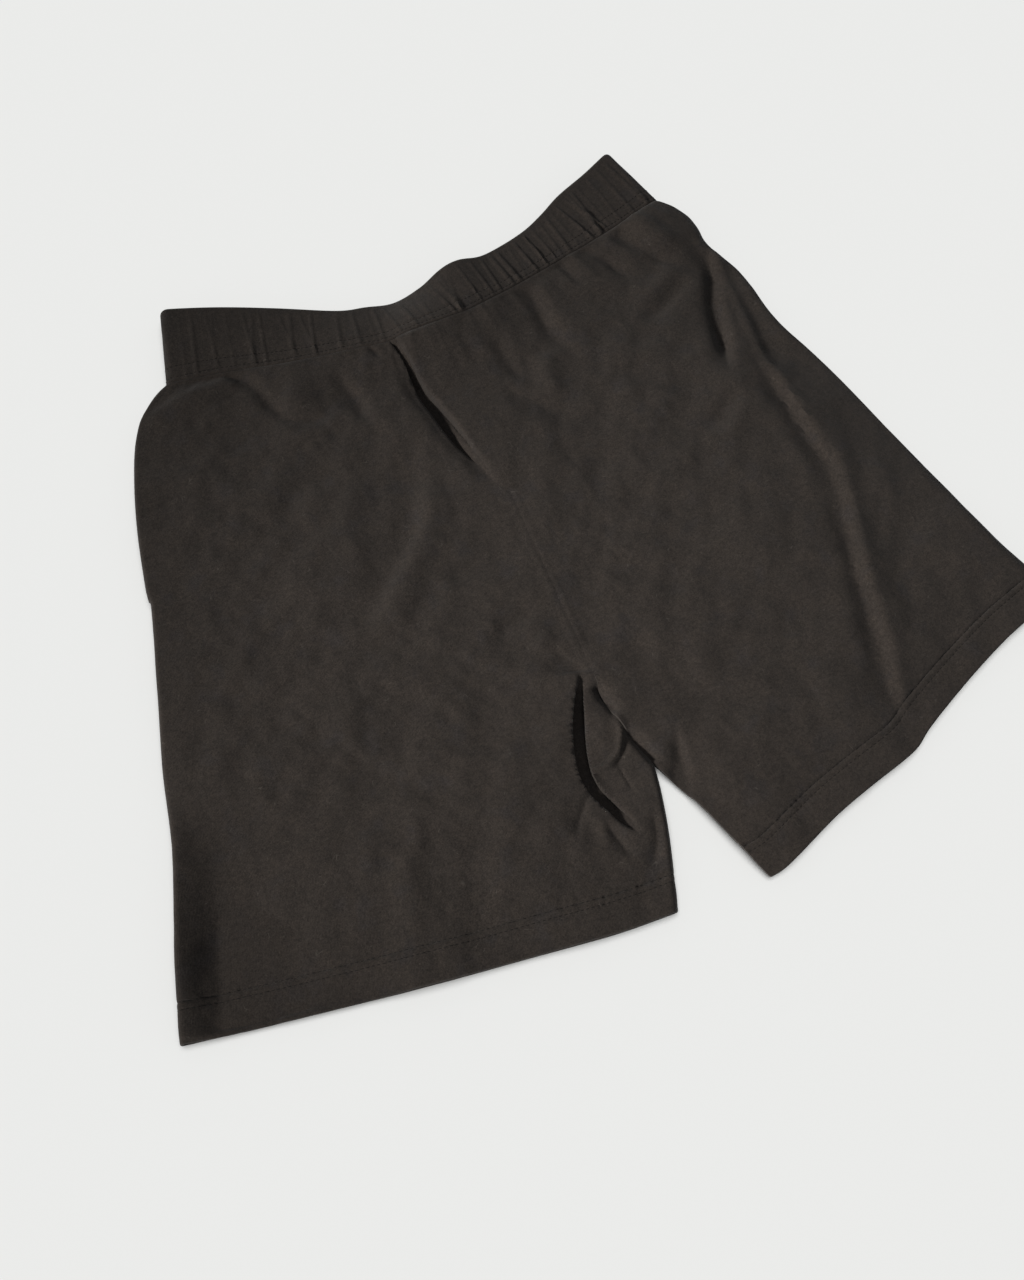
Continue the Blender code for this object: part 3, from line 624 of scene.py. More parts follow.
def mesh_object(name, vertices, faces, material, uv=None, nodes=()):
    """A piece with its material, which rides on the one body and stands for nodes of the frame."""
    mesh = new_mesh(name, vertices.tolist(), [list(f) for f in faces])
    if uv is not None:
        layer = mesh.uv_layers.new(name="cloth")
        index = np.empty(len(mesh.loops), np.int32)
        mesh.loops.foreach_get("vertex_index", index)
        layer.data.foreach_set("uv", uv[index].astype(np.float32).ravel())
    mesh.shade_smooth()
    mesh.set_sharp_from_angle(angle=SHARP_ANGLE)
    mesh.materials.append(material)
    obj = placed(name, mesh)
    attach(obj, "root")
    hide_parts(*nodes)
    return obj


EDGE_SWELL = 0.1  # how far a sheet's edge is rounded out, as a share of its thickness


def cloth(name, middle, thickness, material, nodes, uv, wrap=False):
    """A closed sheet of cloth about a grid of points, with rounded edges. With wrap its columns form a ring."""
    rows, columns = middle.shape[:2]
    normal = normals_of(middle, wrap)
    count = rows * columns
    index = np.arange(count).reshape(rows, columns)
    over = middle + normal * thickness / 2
    under = middle - normal * thickness / 2
    points, coordinates = [over.reshape(-1, 3), under.reshape(-1, 3)], [uv.reshape(-1, 2)] * 2

    right = np.roll(index, -1, 1) if wrap else index[:, 1:]
    left = index if wrap else index[:, :-1]
    quads = np.stack([left[:-1], left[1:], right[1:], right[:-1]], -1).reshape(-1, 4)
    faces = [quads, quads[:, ::-1] + count]

    down = unit(np.gradient(middle, axis=0))
    if wrap:
        borders = [(index[0], -down[0], True), (index[-1], down[-1], False)]
    else:
        across = unit(np.gradient(middle, axis=1))
        loop = np.concatenate([index[0, :-1], index[:-1, -1], index[-1, :0:-1], index[:0:-1, 0]])
        out = np.concatenate([-down[0, :-1], across[:-1, -1], down[-1, :0:-1], -across[:0:-1, 0]])
        borders = [(loop, out, True)]
    for loop, out, forward in borders:
        start = sum(len(p) for p in points)
        points.append(middle.reshape(-1, 3)[loop] + out * EDGE_SWELL * thickness)
        coordinates.append(uv.reshape(-1, 2)[loop])
        n = len(loop)
        rim = start + np.arange(n)
        after = np.roll(np.arange(n), -1)
        a, b, c, d = loop, loop[after], rim, rim[after]
        upper = np.stack([a, b, d, c], -1)
        lower = np.stack([c, d, b + count, a + count], -1)
        if not forward:
            upper, lower = upper[:, ::-1], lower[:, ::-1]
        faces += [upper, lower]
    vertices = to_frame(np.concatenate(points))
    flat = np.concatenate(coordinates) * MM
    return mesh_object(name, vertices, np.concatenate(faces).tolist(), material, flat, nodes)


STITCH_RING = 6  # points round a thread
STITCH_RADIUS = 0.24
STITCH_SHARE = 0.82  # of the pitch that a stitch takes up
STITCH_LIFT = 0.1
# how thick a stitch is along its length: (share of its length, share of its thickness)
STITCH_PROFILE = [(0.0, 0.15), (0.12, 0.75), (0.35, 1.0), (0.65, 1.0), (0.88, 0.75), (1.0, 0.15)]


def stitches(name, path, normal, pitch, nodes, seed):
    """A row of separate stitches along a path on the cloth: short threads that dip in at both ends."""
    along = run_along(path)
    count = int(along[-1] / pitch)
    rng = np.random.default_rng(seed)
    starts = (np.arange(count) + 0.5 * (along[-1] / pitch - count)) * pitch + rng.normal(0, 0.06, count)
    turn = np.linspace(0, 2 * math.pi, STITCH_RING, endpoint=False)
    shares, sizes = np.array(STITCH_PROFILE).T
    points, faces = [], []
    for start in starts:
        base = len(points) * STITCH_RING
        at = start + shares * pitch * STITCH_SHARE
        centre = np.stack([np.interp(at, along, path[:, k]) for k in range(3)], -1)
        up = unit(np.stack([np.interp(at, along, normal[:, k]) for k in range(3)], -1))
        ahead = unit(np.gradient(centre, axis=0))
        side = unit(np.cross(ahead, up))
        sink = -STITCH_RADIUS * 1.5 * (np.abs(shares - 0.5) * 2) ** 3 + STITCH_LIFT
        centre = centre + up * sink[:, None]
        for k, size in enumerate(sizes):
            ring = (np.cos(turn)[:, None] * side[k] + np.sin(turn)[:, None] * up[k]) * STITCH_RADIUS * size
            points.append(centre[k] + ring)
        for k in range(len(STITCH_PROFILE) - 1):
            for j in range(STITCH_RING):
                m = (j + 1) % STITCH_RING
                low, high = base + k * STITCH_RING, base + (k + 1) * STITCH_RING
                faces.append((low + j, low + m, high + m, high + j))
        last = base + (len(STITCH_PROFILE) - 1) * STITCH_RING
        faces.append(tuple(base + j for j in range(STITCH_RING - 1, -1, -1)))
        faces.append(tuple(last + j for j in range(STITCH_RING)))
    return mesh_object(name, to_frame(np.concatenate(points)), faces, thread_material, None, nodes)


# ---------------------------------------------------------------------------------------------- materials


COLOUR_MIX_INPUTS = (0, 6, 7)  # the sockets that a colour mix node uses: its share and its two colours
COLOUR_MIX_OUTPUT = 2


class Nodes:
    """A new material's shader nodes, with short calls for the ones that the materials share."""

    def __init__(self, name, looks=None):
        self.material = bpy.data.materials.new(name)
        self.material.use_nodes = True
        self.tree = self.material.node_tree
        self.surface = self.tree.nodes["Principled BSDF"]
        for key, value in (looks or {}).items():
            self.put(value, self.surface.inputs[key])

    def new(self, kind, **values):
        node = self.tree.nodes.new(kind)
        for key, value in values.items():
            setattr(node, key, value)
        return node

    def link(self, a, b):
        self.tree.links.new(a, b)

    def across_and_down(self, width, height):
        """Distances across and down the cloth, counted in threads of a width and rows of a height."""
        uv = self.new("ShaderNodeUVMap", uv_map="cloth")
        mapping = self.new("ShaderNodeMapping")
        mapping.inputs["Scale"].default_value = (1 / width, 1 / height, 1)
        self.link(uv.outputs["UV"], mapping.inputs["Vector"])
        parts = self.new("ShaderNodeSeparateXYZ")
        self.link(mapping.outputs["Vector"], parts.inputs["Vector"])
        return parts.outputs["X"], parts.outputs["Y"]

    def place(self):
        return self.new("ShaderNodeTexCoord").outputs["Object"]

    def noise(self, vector, scale, detail, roughness=0.55):
        node = self.new("ShaderNodeTexNoise")
        for key, value in {"Scale": scale, "Detail": detail, "Roughness": roughness, "Vector": vector}.items():
            self.put(value, node.inputs[key])
        return node.outputs["Fac"]

    def put(self, value, socket):
        """Give a socket a plain value, a colour, or another node's output."""
        if isinstance(value, tuple):
            socket.default_value = (*value, 1.0)
        elif isinstance(value, (int, float)):
            socket.default_value = value
        else:
            self.link(value, socket)

    def math(self, operation, a, b):
        node = self.new("ShaderNodeMath", operation=operation)
        self.put(a, node.inputs[0])
        self.put(b, node.inputs[1])
        return node.outputs["Value"]

    def times(self, a, b):
        return self.math("MULTIPLY", a, b)

    def plus(self, a, b):
        return self.math("ADD", a, b)

    def zigzag(self, value):
        """Up to 0.5 and back to 0, once in each unit."""
        return self.math("PINGPONG", value, 0.5)

    def between(self, value, low, high):
        """0 where value is under low, and 1 where it is over high."""
        node = self.new("ShaderNodeMapRange", clamp=True)
        for key, given in {"From Min": low, "From Max": high, "Value": value}.items():
            self.put(given, node.inputs[key])
        return node.outputs["Result"]

    def mix(self, share, a, b, blend="MIX"):
        node = self.new("ShaderNodeMix", data_type="RGBA", blend_type=blend)
        for place, value in zip(COLOUR_MIX_INPUTS, (share, a, b)):
            self.put(value, node.inputs[place])
        return node.outputs[COLOUR_MIX_OUTPUT]

    def bump(self, height, distance, strength, under=None):
        node = self.new("ShaderNodeBump")
        for key, value in {"Distance": distance, "Strength": strength, "Height": height}.items():
            self.put(value, node.inputs[key])
        if under is not None:
            self.link(under, node.inputs["Normal"])
        return node.outputs["Normal"]

    def finished(self, colour, bumps, roughness):
        """The material, with its colour, its bumps and its roughness."""
        for key, value in {"Base Color": colour, "Normal": bumps, "Roughness": roughness}.items():
            self.put(value, self.surface.inputs[key])
        return self.material


def jersey_material(name, dark, brown, blue, wale=0.00085, lint=1.0):
    """Cotton jersey: fine wales, a brushed grain, patches of warmer and cooler black, and specks of lint."""
    n = Nodes(name, {"Specular IOR Level": 0.22, "Sheen Weight": 0.10, "Sheen Roughness": 0.55})
    place = n.place()
    patches = n.times(n.between(n.noise(place, 95, 3), 0.40, 0.66), 0.55)
    cool = n.times(n.between(n.noise(place, 60, 2), 0.56, 0.70), 0.40)
    colour = n.mix(cool, n.mix(patches, dark, brown), blue)

    grain = n.noise(place, 1100, 3, 0.75)
    coarse = n.noise(place, 420, 2, 0.6)
    cloudy = n.noise(place, 22, 3)
    shade = n.plus(n.times(n.between(grain, 0.34, 0.66), 0.72), 0.48)
    shade = n.plus(shade, n.times(n.between(coarse, 0.35, 0.65), 0.32))
    shade = n.times(shade, n.plus(n.times(cloudy, 0.22), 0.89))
    grey = n.new("ShaderNodeCombineColor")
    for socket in grey.inputs:
        n.link(shade, socket)
    colour = n.mix(1.0, colour, grey.outputs["Color"], "MULTIPLY")

    fibres = n.new("ShaderNodeTexVoronoi", feature="DISTANCE_TO_EDGE")
    n.put(210, fibres.inputs["Scale"])
    n.put(place, fibres.inputs["Vector"])
    near_fibre = n.math("SUBTRACT", 1.0, n.between(fibres.outputs["Distance"], 0.0, 0.05))
    rare = n.between(n.noise(place, 170, 1), 0.66, 0.76)
    speck = n.times(n.times(near_fibre, rare), 0.30 * lint)
    colour = n.mix(speck, colour, (0.15, 0.135, 0.12))

    across, down = n.across_and_down(wale, 0.75 * wale)
    slant = n.zigzag(across)
    loop = n.zigzag(n.plus(down, n.times(slant, 1.6)))
    knit = n.math("SMOOTH_MIN", n.times(slant, 2.0), n.times(loop, 2.0))
    bumps = n.bump(knit, 0.00018, 0.55)
    bumps = n.bump(n.noise(place, 620, 4, 0.65), 0.0005, 0.35, bumps)
    bumps = n.bump(n.noise(place, 150, 3), 0.0012, 0.16, bumps)
    return n.finished(colour, bumps, n.plus(0.86, n.times(grain, 0.12)))


def thread_of(name, colour):
    """Spun polyester thread with its twist."""
    n = Nodes(name, {"Specular IOR Level": 0.25})
    twist = n.noise(n.place(), 2400, 2)
    shades = [tuple(share * c for c in colour) for share in (0.7, 1.35)]
    return n.finished(n.mix(twist, *shades), n.bump(twist, 0.0002, 0.6), 0.8)


def elastic_of(name):
    """Woven elastic: ribs along the ring, paler on the ribs and darker between them."""
    n = Nodes(name)
    across, down = n.across_and_down(0.0012, 0.0016)
    height = n.plus(n.zigzag(down), n.times(n.zigzag(across), 0.4))
    return n.finished(n.mix(height, (0.42, 0.41, 0.38), (0.66, 0.65, 0.61)), n.bump(height, 0.0004, 0.7), 0.8)


def ribbon_of(name):
    """The blank label's satin ribbon."""
    n = Nodes(name)
    across, down = n.across_and_down(0.0004, 0.0009)
    weave = n.times(n.zigzag(across), n.zigzag(down))
    colour = n.mix(n.noise(n.place(), 300, 2), (0.66, 0.66, 0.64), (0.76, 0.76, 0.74))
    return n.finished(colour, n.bump(weave, 0.0002, 0.5), 0.42)


jersey = jersey_material("charcoal_jersey", dark=(0.0312, 0.0256, 0.0226), brown=(0.0390, 0.0312, 0.0264),
                         blue=(0.0295, 0.0264, 0.0275))
pocket_jersey = jersey_material("black_pocketing", dark=(0.017, 0.016, 0.0165), brown=(0.022, 0.020, 0.019),
                                blue=(0.018, 0.019, 0.021), wale=0.0006, lint=0.3)
thread_material = thread_of("black_thread", (0.0120, 0.0108, 0.0102))
elastic_material = elastic_of("white_elastic")
ribbon = ribbon_of("label_satin")


# ---------------------------------------------------------------------------------------------- panels

HEM_TURN = JERSEY / 2 + FOLD_GAP / 2
HEM_FOLD = np.radians([20, 45, 70, 95, 120, 145, 165, 180])


def stitch_groove(distance, puckers, depth):
    """How far a row of stitches pulls the cloth in, by the distance from it."""
    return -depth * (1 + 0.5 * puckers) * bell(distance, 0.85)


def folded_hem(middle, normal):
    """The rows that turn the hem's edge in, round its fold."""
    down = unit(middle[-1] - middle[-3])
    inward = -normal[-1]
    return np.array([middle[-1] + down * HEM_TURN * math.sin(t) + inward * HEM_TURN * (1 - math.cos(t))
                     for t in HEM_FOLD])


def tucked_rows(leg, u, front):
    """The rows of a panel that are held between the plies of the waistband."""
    a = leg.band_a(u)
    to_side = (1 - u) * leg.width(0.0)
    rows = []
    for depth in (BAND_DEPTH - PANEL_TUCK, BAND_DEPTH - PANEL_TUCK / 2, BAND_DEPTH - 0.9):
        top = band_front_z(a, depth)
        side = side_seam_z(leg, 0.0)
        z = side + ((top if front else BAND_BACK_Z) - side) * rise(to_side, BAND_TURN)
        rows.append(with_height(band_plan(a, np.full(a.shape, depth)), z))
    return np.array(rows)


def cloth_uv(middle):
    """Distances across and down the cloth itself, in millimetres."""
    middle_column = middle.shape[1] // 2
    down = run_along(middle[:, middle_column])
    step = np.linalg.norm(np.diff(middle, axis=1), axis=2)
    across = np.concatenate([np.zeros((len(middle), 1)), np.cumsum(step, axis=1)], 1)
    across -= across[:, middle_column:middle_column + 1]
    return np.stack([across, np.repeat(down[:, None], middle.shape[1], 1)], -1)


def back_surface(leg):
    """The middle of a back panel below the waist seam."""
    u, v = grid_of(leg, BACK_COLUMNS, BACK_ROWS, BACK_STEP)
    plan = leg.at(u, v)
    width = leg.width(v)
    below, above_hem = v * PANEL_LENGTH, (1 - v) * PANEL_LENGTH
    to_side, to_inner = (1 - u) * width, u * width
    _, unevenness = RIPPLES[1]
    z = BACK_Z + (BAND_BACK_Z - BACK_Z) * (1 - smooth((below - 1) / 18))
    z = z + 1.0 * (1 - smooth((above_hem - 22) / 12))
    z = z + 0.12 * (1 + unevenness(plan[..., 0], plan[..., 1]))
    radius = BAND_TURN + (BACK_SIDE_RADIUS - BAND_TURN) * smooth(below / 30)
    top = side_seam_z(leg, below) - SEAM_GAP
    z = z + (top - z) * (1 - rise(to_side, radius))
    z = z + (SIDE_SEAM_Z - SEAM_GAP - z) * open_edge(leg, plan[..., 1]) * (1 - rise(to_inner, BACK_INNER_RADIUS))
    return with_height(plan, z), u, v


SETTLE_STEP = 8.0  # millimetres between the threads of the cloth that is simulated
SETTLE_FRAMES = 30
SETTLE_GAP = 0.001
HELD_BORDERS = (8, 12, 5, 24)  # what stays still along the inner edge, the side, the waist and the hem
JERSEY_PHYSICS = {"quality": 10, "mass": 0.12, "tension_stiffness": 25, "compression_stiffness": 25,
                  "shear_stiffness": 12, "bending_stiffness": 8, "air_damping": 6, "vertex_group_mass": "held",
                  "pin_stiffness": 4, "shrink_min": -0.0032}  # below 0, so that the cloth has a little slack


def spaced(places, gap):
    """Indices of places that are at least gap apart, with the first and the last."""
    kept = [0]
    for i in range(1, len(places) - 1):
        if places[i] - places[kept[-1]] >= gap and places[-1] - places[i] > 0.6 * gap:
            kept.append(i)
    return np.array(kept + [len(places) - 1])


def spline(values, knots, at):
    """Smooth values between knots, along the first axis."""
    slope = np.gradient(values, knots, axis=0)
    i = np.clip(np.searchsorted(knots, at) - 1, 0, len(knots) - 2)
    step = (knots[i + 1] - knots[i]).reshape(-1, *[1] * (values.ndim - 1))
    t = ((at - knots[i]) / (knots[i + 1] - knots[i])).reshape(step.shape)
    return ((1 + 2 * t) * (1 - t) ** 2 * values[i] + t * (1 - t) ** 2 * step * slope[i]
            + t * t * (3 - 2 * t) * values[i + 1] - t * t * (1 - t) * step * slope[i + 1])


def held(leg, middle, u, v):
    """How firmly each point of a panel stays: 1 along its seams and hem, less inside, more in its folds."""
    width = leg.width(v)
    to_edges = u * width, (1 - u) * width, v * PANEL_LENGTH, (1 - v) * PANEL_LENGTH
    inside = np.minimum.reduce([distance - border for distance, border in zip(to_edges, HELD_BORDERS)])
    folded = np.clip(np.abs(middle[..., 2] - FRONT_Z) / 5, 0, 1)
    soft = 0.35 + 0.5 * folded
    return soft + (1 - soft) * (1 - smooth(inside / 34))


def cloth_helper(fronts, side, leg):
    """A coarser copy of a front panel with cloth physics, and the rows and columns it keeps."""
    middle, u, v = fronts[side]
    rows = spaced(v[:, 0] * PANEL_LENGTH, SETTLE_STEP)
    columns = spaced(u[len(u) // 2] * leg.width(v)[len(u) // 2, 0], SETTLE_STEP)
    pick = np.ix_(rows, columns)
    coarse = middle[pick]
    index = np.arange(coarse.size // 3).reshape(coarse.shape[:2])
    faces = np.stack([index[:-1, :-1], index[:-1, 1:], index[1:, 1:], index[1:, :-1]], -1).reshape(-1, 4)
    name = f"settling_{side}"
    helper = placed(name, new_mesh(name, (coarse.reshape(-1, 3) * MM).tolist(), faces.tolist()))
    group = helper.vertex_groups.new(name="held")
    for i, weight in enumerate(held(leg, coarse, u[pick], v[pick]).ravel()):
        group.add([i], float(weight), "REPLACE")
    physics = helper.modifiers.new("settle", "CLOTH")
    for setting, value in JERSEY_PHYSICS.items():
        setattr(physics.settings, setting, value)
    physics.collision_settings.distance_min = SETTLE_GAP
    physics.collision_settings.use_self_collision = False
    return helper, coarse, rows, columns


def settle(fronts):
    """The front panels after their slack has settled over the backs as real cloth."""
    scene = bpy.context.scene
    below = placed("settling_under", square("settling_under", 0.5, (BACK_Z + JERSEY) * MM))
    below.modifiers.new("solid", "COLLISION")
    below.collision.thickness_outer = SETTLE_GAP
    helpers = {side: cloth_helper(fronts, side, leg) for side, leg in LEGS.items()}
    for moment in range(1, SETTLE_FRAMES + 1):
        scene.frame_set(moment)
    graph = bpy.context.evaluated_depsgraph_get()
    done = {}
    for side, leg in LEGS.items():
        helper, coarse, rows, columns = helpers[side]
        middle, u, v = fronts[side]
        points = np.empty(coarse.size)
        helper.evaluated_get(graph).to_mesh().vertices.foreach_get("co", points)
        moved = points.reshape(coarse.shape) / MM - coarse
        moved = spline(moved, rows.astype(float), np.arange(len(middle), dtype=float))
        moved = spline(moved.swapaxes(0, 1), columns.astype(float), np.arange(middle.shape[1], dtype=float))
        middle = middle + moved.swapaxes(0, 1)
        middle[..., 2] = np.maximum(middle[..., 2], LOWEST_FRONT_Z)
        done[side] = (middle, u, v)
    for thing in [below] + [helpers[side][0] for side in helpers]:
        mesh = thing.data
        bpy.data.objects.remove(thing)
        bpy.data.meshes.remove(mesh)
    scene.frame_set(1)
    return done


fronts, backs = {}, {}
for side, leg in LEGS.items():
    fronts[side] = front_surface(leg)
    backs[side] = back_surface(leg)
fronts = settle(fronts)


def finish_front(side, leg):
    """Press the hem's stitch rows and edge into a front, and give its middle and its normals."""
    middle, u, v = fronts[side]
    normal = outside_normals(middle, True)
    above_hem = (1 - v) * PANEL_LENGTH
    across = u * leg.width(v)
    puckers = Waves(5.0, 31)(across, v * 0)
    pull = sum(stitch_groove(above_hem - row, puckers, depth) for row, depth in zip(HEM_STITCH_ROWS, HEM_PUCKERS))
    edge = 0.25 * bell(above_hem - 9, 6) * (1 + 0.4 * Waves(22, 32)(across, v * 0))
    return middle + normal * (pull + edge)[..., None], normal


def panel(name, leg, u, middle, normal, front):
    """A whole panel: the rows tucked into the waistband, what is seen of it, and its folded hem."""
    whole = np.concatenate([tucked_rows(leg, u[0], front), middle, folded_hem(middle, normal)])
    whole = whole if leg.sign > 0 else whole[:, ::-1]
    return cloth(name, whole, JERSEY, jersey, [f"{name}_panel"], cloth_uv(whole))


front_done, back_done = {}, {}
for side, leg in LEGS.items():
    front_done[side] = finish_front(side, leg)
    piece = panel(f"{side}_front", leg, fronts[side][1], *front_done[side], True)
    back_done[side] = (backs[side][0], outside_normals(backs[side][0], False))
    piece = panel(f"{side}_back", leg, backs[side][1], *back_done[side], False)


# ---------------------------------------------------------------------------------------------- waistband

RING_STEP = 0.95
ELASTIC_ROWS = 49
BAND_PUCKER = 0.42  # how far the stitches pull the waistband in
BAND_PITCH = 3.1  # from one stitch to the next


def band_stations():
    """Round the waistband: distance along it, which way is out, along it and up, and how far up to the front."""
    turn = BAND_TURN
    end = turn + BAND_ROOM + CASING / 2
    count = int((BAND_LENGTH - 2 * end) / RING_STEP)
    flat = np.linspace(end, BAND_LENGTH - end, count)
    arc = np.radians(np.linspace(0, 180, 15)[1:-1])
    rows = [(a, 0.0, 1.0, 1.0) for a in flat]
    rows += [(flat[-1] + turn * math.sin(t), math.sin(t), math.cos(t), 0.5 + 0.5 * math.cos(t)) for t in arc]
    rows += [(a, 0.0, -1.0, 0.0) for a in flat[::-1]]
    rows += [(flat[0] - turn * math.sin(t), -math.sin(t), -math.cos(t), 0.5 - 0.5 * math.cos(t)) for t in arc]
    return np.array(rows)


ring = band_stations()
ring_along = run_along(np.stack([ring[:, 0], ring[:, 3] * 10], -1))


def band_points(out, depth):
    """Points of the waistband for each row's distance out and depth, at every station."""
    out, depth = np.broadcast_arrays(np.asarray(out, float), np.asarray(depth, float))
    along = ring[:, 0] + out * ring[:, 1]
    a = along / BAND_LENGTH
    plan = band_plan(a, depth)
    z = BAND_BACK_Z + (band_front_z(a, depth) - BAND_BACK_Z) * ring[:, 3] + out * ring[:, 2]
    return with_height(plan, z)


def casing_rows():
    """The strip's profile from the foot of its outer ply, over the top fold, to the foot of its inner ply."""
    outer = stations(BAND_DEPTH - 2.5, [(BAND_DEPTH - 12.5, BAND_DEPTH - 2.5, 0.7)], 1.6)[::-1] + 2.5
    profile = [(1.0, BAND_DEPTH + 0.15), (1.35, BAND_DEPTH - 0.15)]
    profile += [(BAND_ROOM, depth) for depth in outer[1:]]
    profile += [(BAND_ROOM * math.cos(t), 2.5 - 2.2 * math.sin(t)) for t in np.radians(np.arange(12, 180, 12))]
    profile += [(-BAND_ROOM, depth) for depth in np.linspace(2.5, BAND_DEPTH, 20)]
    return np.array(profile)


def all_round(column):
    """The same values at every station of the waistband."""
    return np.repeat(column[:, None], len(ring), 1)


def ring_uv(down):
    """Distances along the waistband and down its strip, at every station."""
    return np.stack([np.repeat(ring_along[None], len(down), 0), all_round(down)], -1)


def make_waistband():
    """The gathered casing, the elastic in it, and its two rows of stitches."""
    profile = casing_rows()
    out, depth = all_round(profile[:, 0]), all_round(profile[:, 1])
    pleats = band_pleats(ring_along[None], depth)
    x = band_foot(ring[:, 0] / BAND_LENGTH)[None, :, 0]
    strength = (1.15 + 0.6 * smooth((x - 20) / 60)) * smooth((depth - 1) / 12)
    strength = strength * (0.75 + 0.25 * smooth((depth - 20) / 20))
    relief = strength * (pleats - 0.25)
    puckers = Waves(4.2, 41)(ring_along[None] + 0 * depth, 0 * depth)
    outside = out > 0.5
    for row in BAND_STITCH_ROWS:
        relief = relief + outside * stitch_groove(depth - row, puckers, BAND_PUCKER)
    relief = np.where(outside, np.maximum(relief, -BAND_PUCKER), 0.3 * relief)
    relief = relief * smooth((BAND_DEPTH + 0.2 - depth) / 1.5)
    casing = cloth("waistband", band_points(out + relief, depth), CASING, jersey, ["waistband_casing"],
                   ring_uv(run_along(profile)), wrap=True)

    rib = 0.09 * np.sin(np.linspace(0, 24 * math.pi, ELASTIC_ROWS))
    strip = np.linspace(3.2, 39.5, ELASTIC_ROWS)
    middle = band_points(all_round(rib), all_round(strip))
    cloth("elastic", middle, 1.2, elastic_material, ["waistband_elastic"], ring_uv(strip), wrap=True)

    for row, name in zip(BAND_STITCH_ROWS, ("upper", "lower")):
        at = np.full(len(ring), row)
        lift = relief[np.abs(profile[:, 1] - row + 100 * (profile[:, 0] < 0.5)).argmin()]
        path = band_points(BAND_ROOM + CASING / 2 + lift, at)
        outward = unit(band_points(BAND_ROOM + 1, at) - band_points(BAND_ROOM, at))
        path = np.vstack([path, path[:1]])
        outward = np.vstack([outward, outward[:1]])
        stitches(f"waist_stitches_{name}", path, outward, BAND_PITCH, [f"waist_stitching_{name}"], 50 + int(row))


make_waistband()


# ---------------------------------------------------------------------------------------------- hems


def make_hem(side, leg):
    """The turned-up inside layer of a hem, and the two rows of stitches on its outside."""
    layers = ((*front_done[side], fronts[side][2], 1), (*back_done[side], backs[side][2], -1))
    inward = JERSEY + FOLD_GAP
    rows = []
    for mark in np.linspace(0.4, HEM_DEPTH, 9):
        ring_points = []
        for surface, normal, v, order in layers:
            heights = (1 - v[:, 0]) * PANEL_LENGTH
            after = np.interp(mark, heights[::-1], np.arange(len(heights))[::-1])
            low, part = int(after), after - int(after)
            high = min(low + 1, len(heights) - 1)
            row = surface[low] * (1 - part) + surface[high] * part
            out = unit(normal[low] * (1 - part) + normal[high] * part)
            ring_points.append((row - out * inward)[3:-3][::order])
        rows.append(np.concatenate(ring_points))
    middle = np.array(rows)[::-1]
    middle = middle if side == "right" else middle[:, ::-1]
    uv = cloth_uv(middle)
    facing = cloth(f"{side}_hem_facing", middle, 1.1, jersey, [f"{side}_hem_turnup"], uv, wrap=True)

    for row, name in zip(HEM_STITCH_ROWS, ("lower", "upper")):
        paths, outs = [], []
        for surface, normal, v, order in layers:
            index = np.abs((1 - v[:, 0]) * PANEL_LENGTH - row).argmin()
            paths.append((surface[index] + normal[index] * JERSEY / 2)[2:-2][::order])
            outs.append(normal[index][2:-2][::order])
        path, outward = np.vstack([*paths, paths[0][:1]]), np.vstack([*outs, outs[0][:1]])
        stitches(f"{side}_hem_stitches_{name}", path, outward, HEM_PITCH, [f"{side}_hem_stitching_{name}"],
                 60 + int(row))


for side, leg in LEGS.items():
    make_hem(side, leg)


# ---------------------------------------------------------------------------------------------- inside


def height_under(points):
    """Height of the front layer over each point, from the nearest point of its surface."""
    cloud = np.concatenate([front_done[s][0].reshape(-1, 3) for s in LEGS])
    result = []
    for p in points.reshape(-1, 2):
        gap = ((cloud[:, :2] - p) ** 2).sum(-1)
        near = np.argpartition(gap, 12)[:12]
        result.append(cloud[near, 2].min())
    return np.array(result).reshape(points.shape[:-1])


POCKET_REACH = 135.0  # in from the side
POCKET_TOP, POCKET_DEPTH = 0.055, 0.365  # as shares of the panel's length
POCKET_TIP = 0.34  # its depth at its inner end, as a share of its depth at the side
POCKET_MOUTH = 0.31  # how far down it is open
POCKET_Z, POCKET_ROOF = 2.0, 8.4


def make_pocket(side, leg):
    """The front and back plies of a pocket bag, open at the mouth in the side seam."""
    across, down = np.meshgrid(np.linspace(0, 1, 34), np.linspace(0, 1, 40))
    depth = POCKET_DEPTH * (POCKET_TIP + (1 - POCKET_TIP) * np.sqrt(1 - across**2.6))
    v = POCKET_TOP + depth * down
    plan = leg.at(1 - (3.5 + POCKET_REACH * across) / leg.width(v), v)
    back_z = np.full(across.shape, POCKET_Z)
    edge = np.minimum(np.minimum((1 - across) * POCKET_REACH, (1 - down) * depth * PANEL_LENGTH),
                      down * depth * PANEL_LENGTH)
    mouth = 1 - smooth((v - POCKET_MOUTH) / 0.03)
    edge = np.minimum(edge, 30 * mouth + across * POCKET_REACH)
    roof = height_under(plan) - JERSEY / 2 - POCKETING / 2 - 0.35
    low = back_z + POCKETING + 0.25
    front_z = low + (np.clip(roof, low, POCKET_ROOF) - low) * rise(0.5 * edge, 7)
    for name, z in (("front", front_z), ("back", back_z)):
        middle = with_height(plan, z)
        middle = middle if side == "right" else middle[:, ::-1]
        ply = cloth(f"{side}_pocket_{name}", middle, POCKETING, pocket_jersey,
                    [f"{side}_pocket_{name}_ply"], cloth_uv(middle))


def on_back(points):
    """Height of a seam allowance that lies on the back layer."""
    return np.full(len(points), 1.8)


def under_front(points):
    """Height of a seam allowance that hangs below the front layer."""
    return height_under(points) - JERSEY / 2 - 1.0


OVERLOCK_ROWS = 7
OVERLOCK_STEP = 1.3


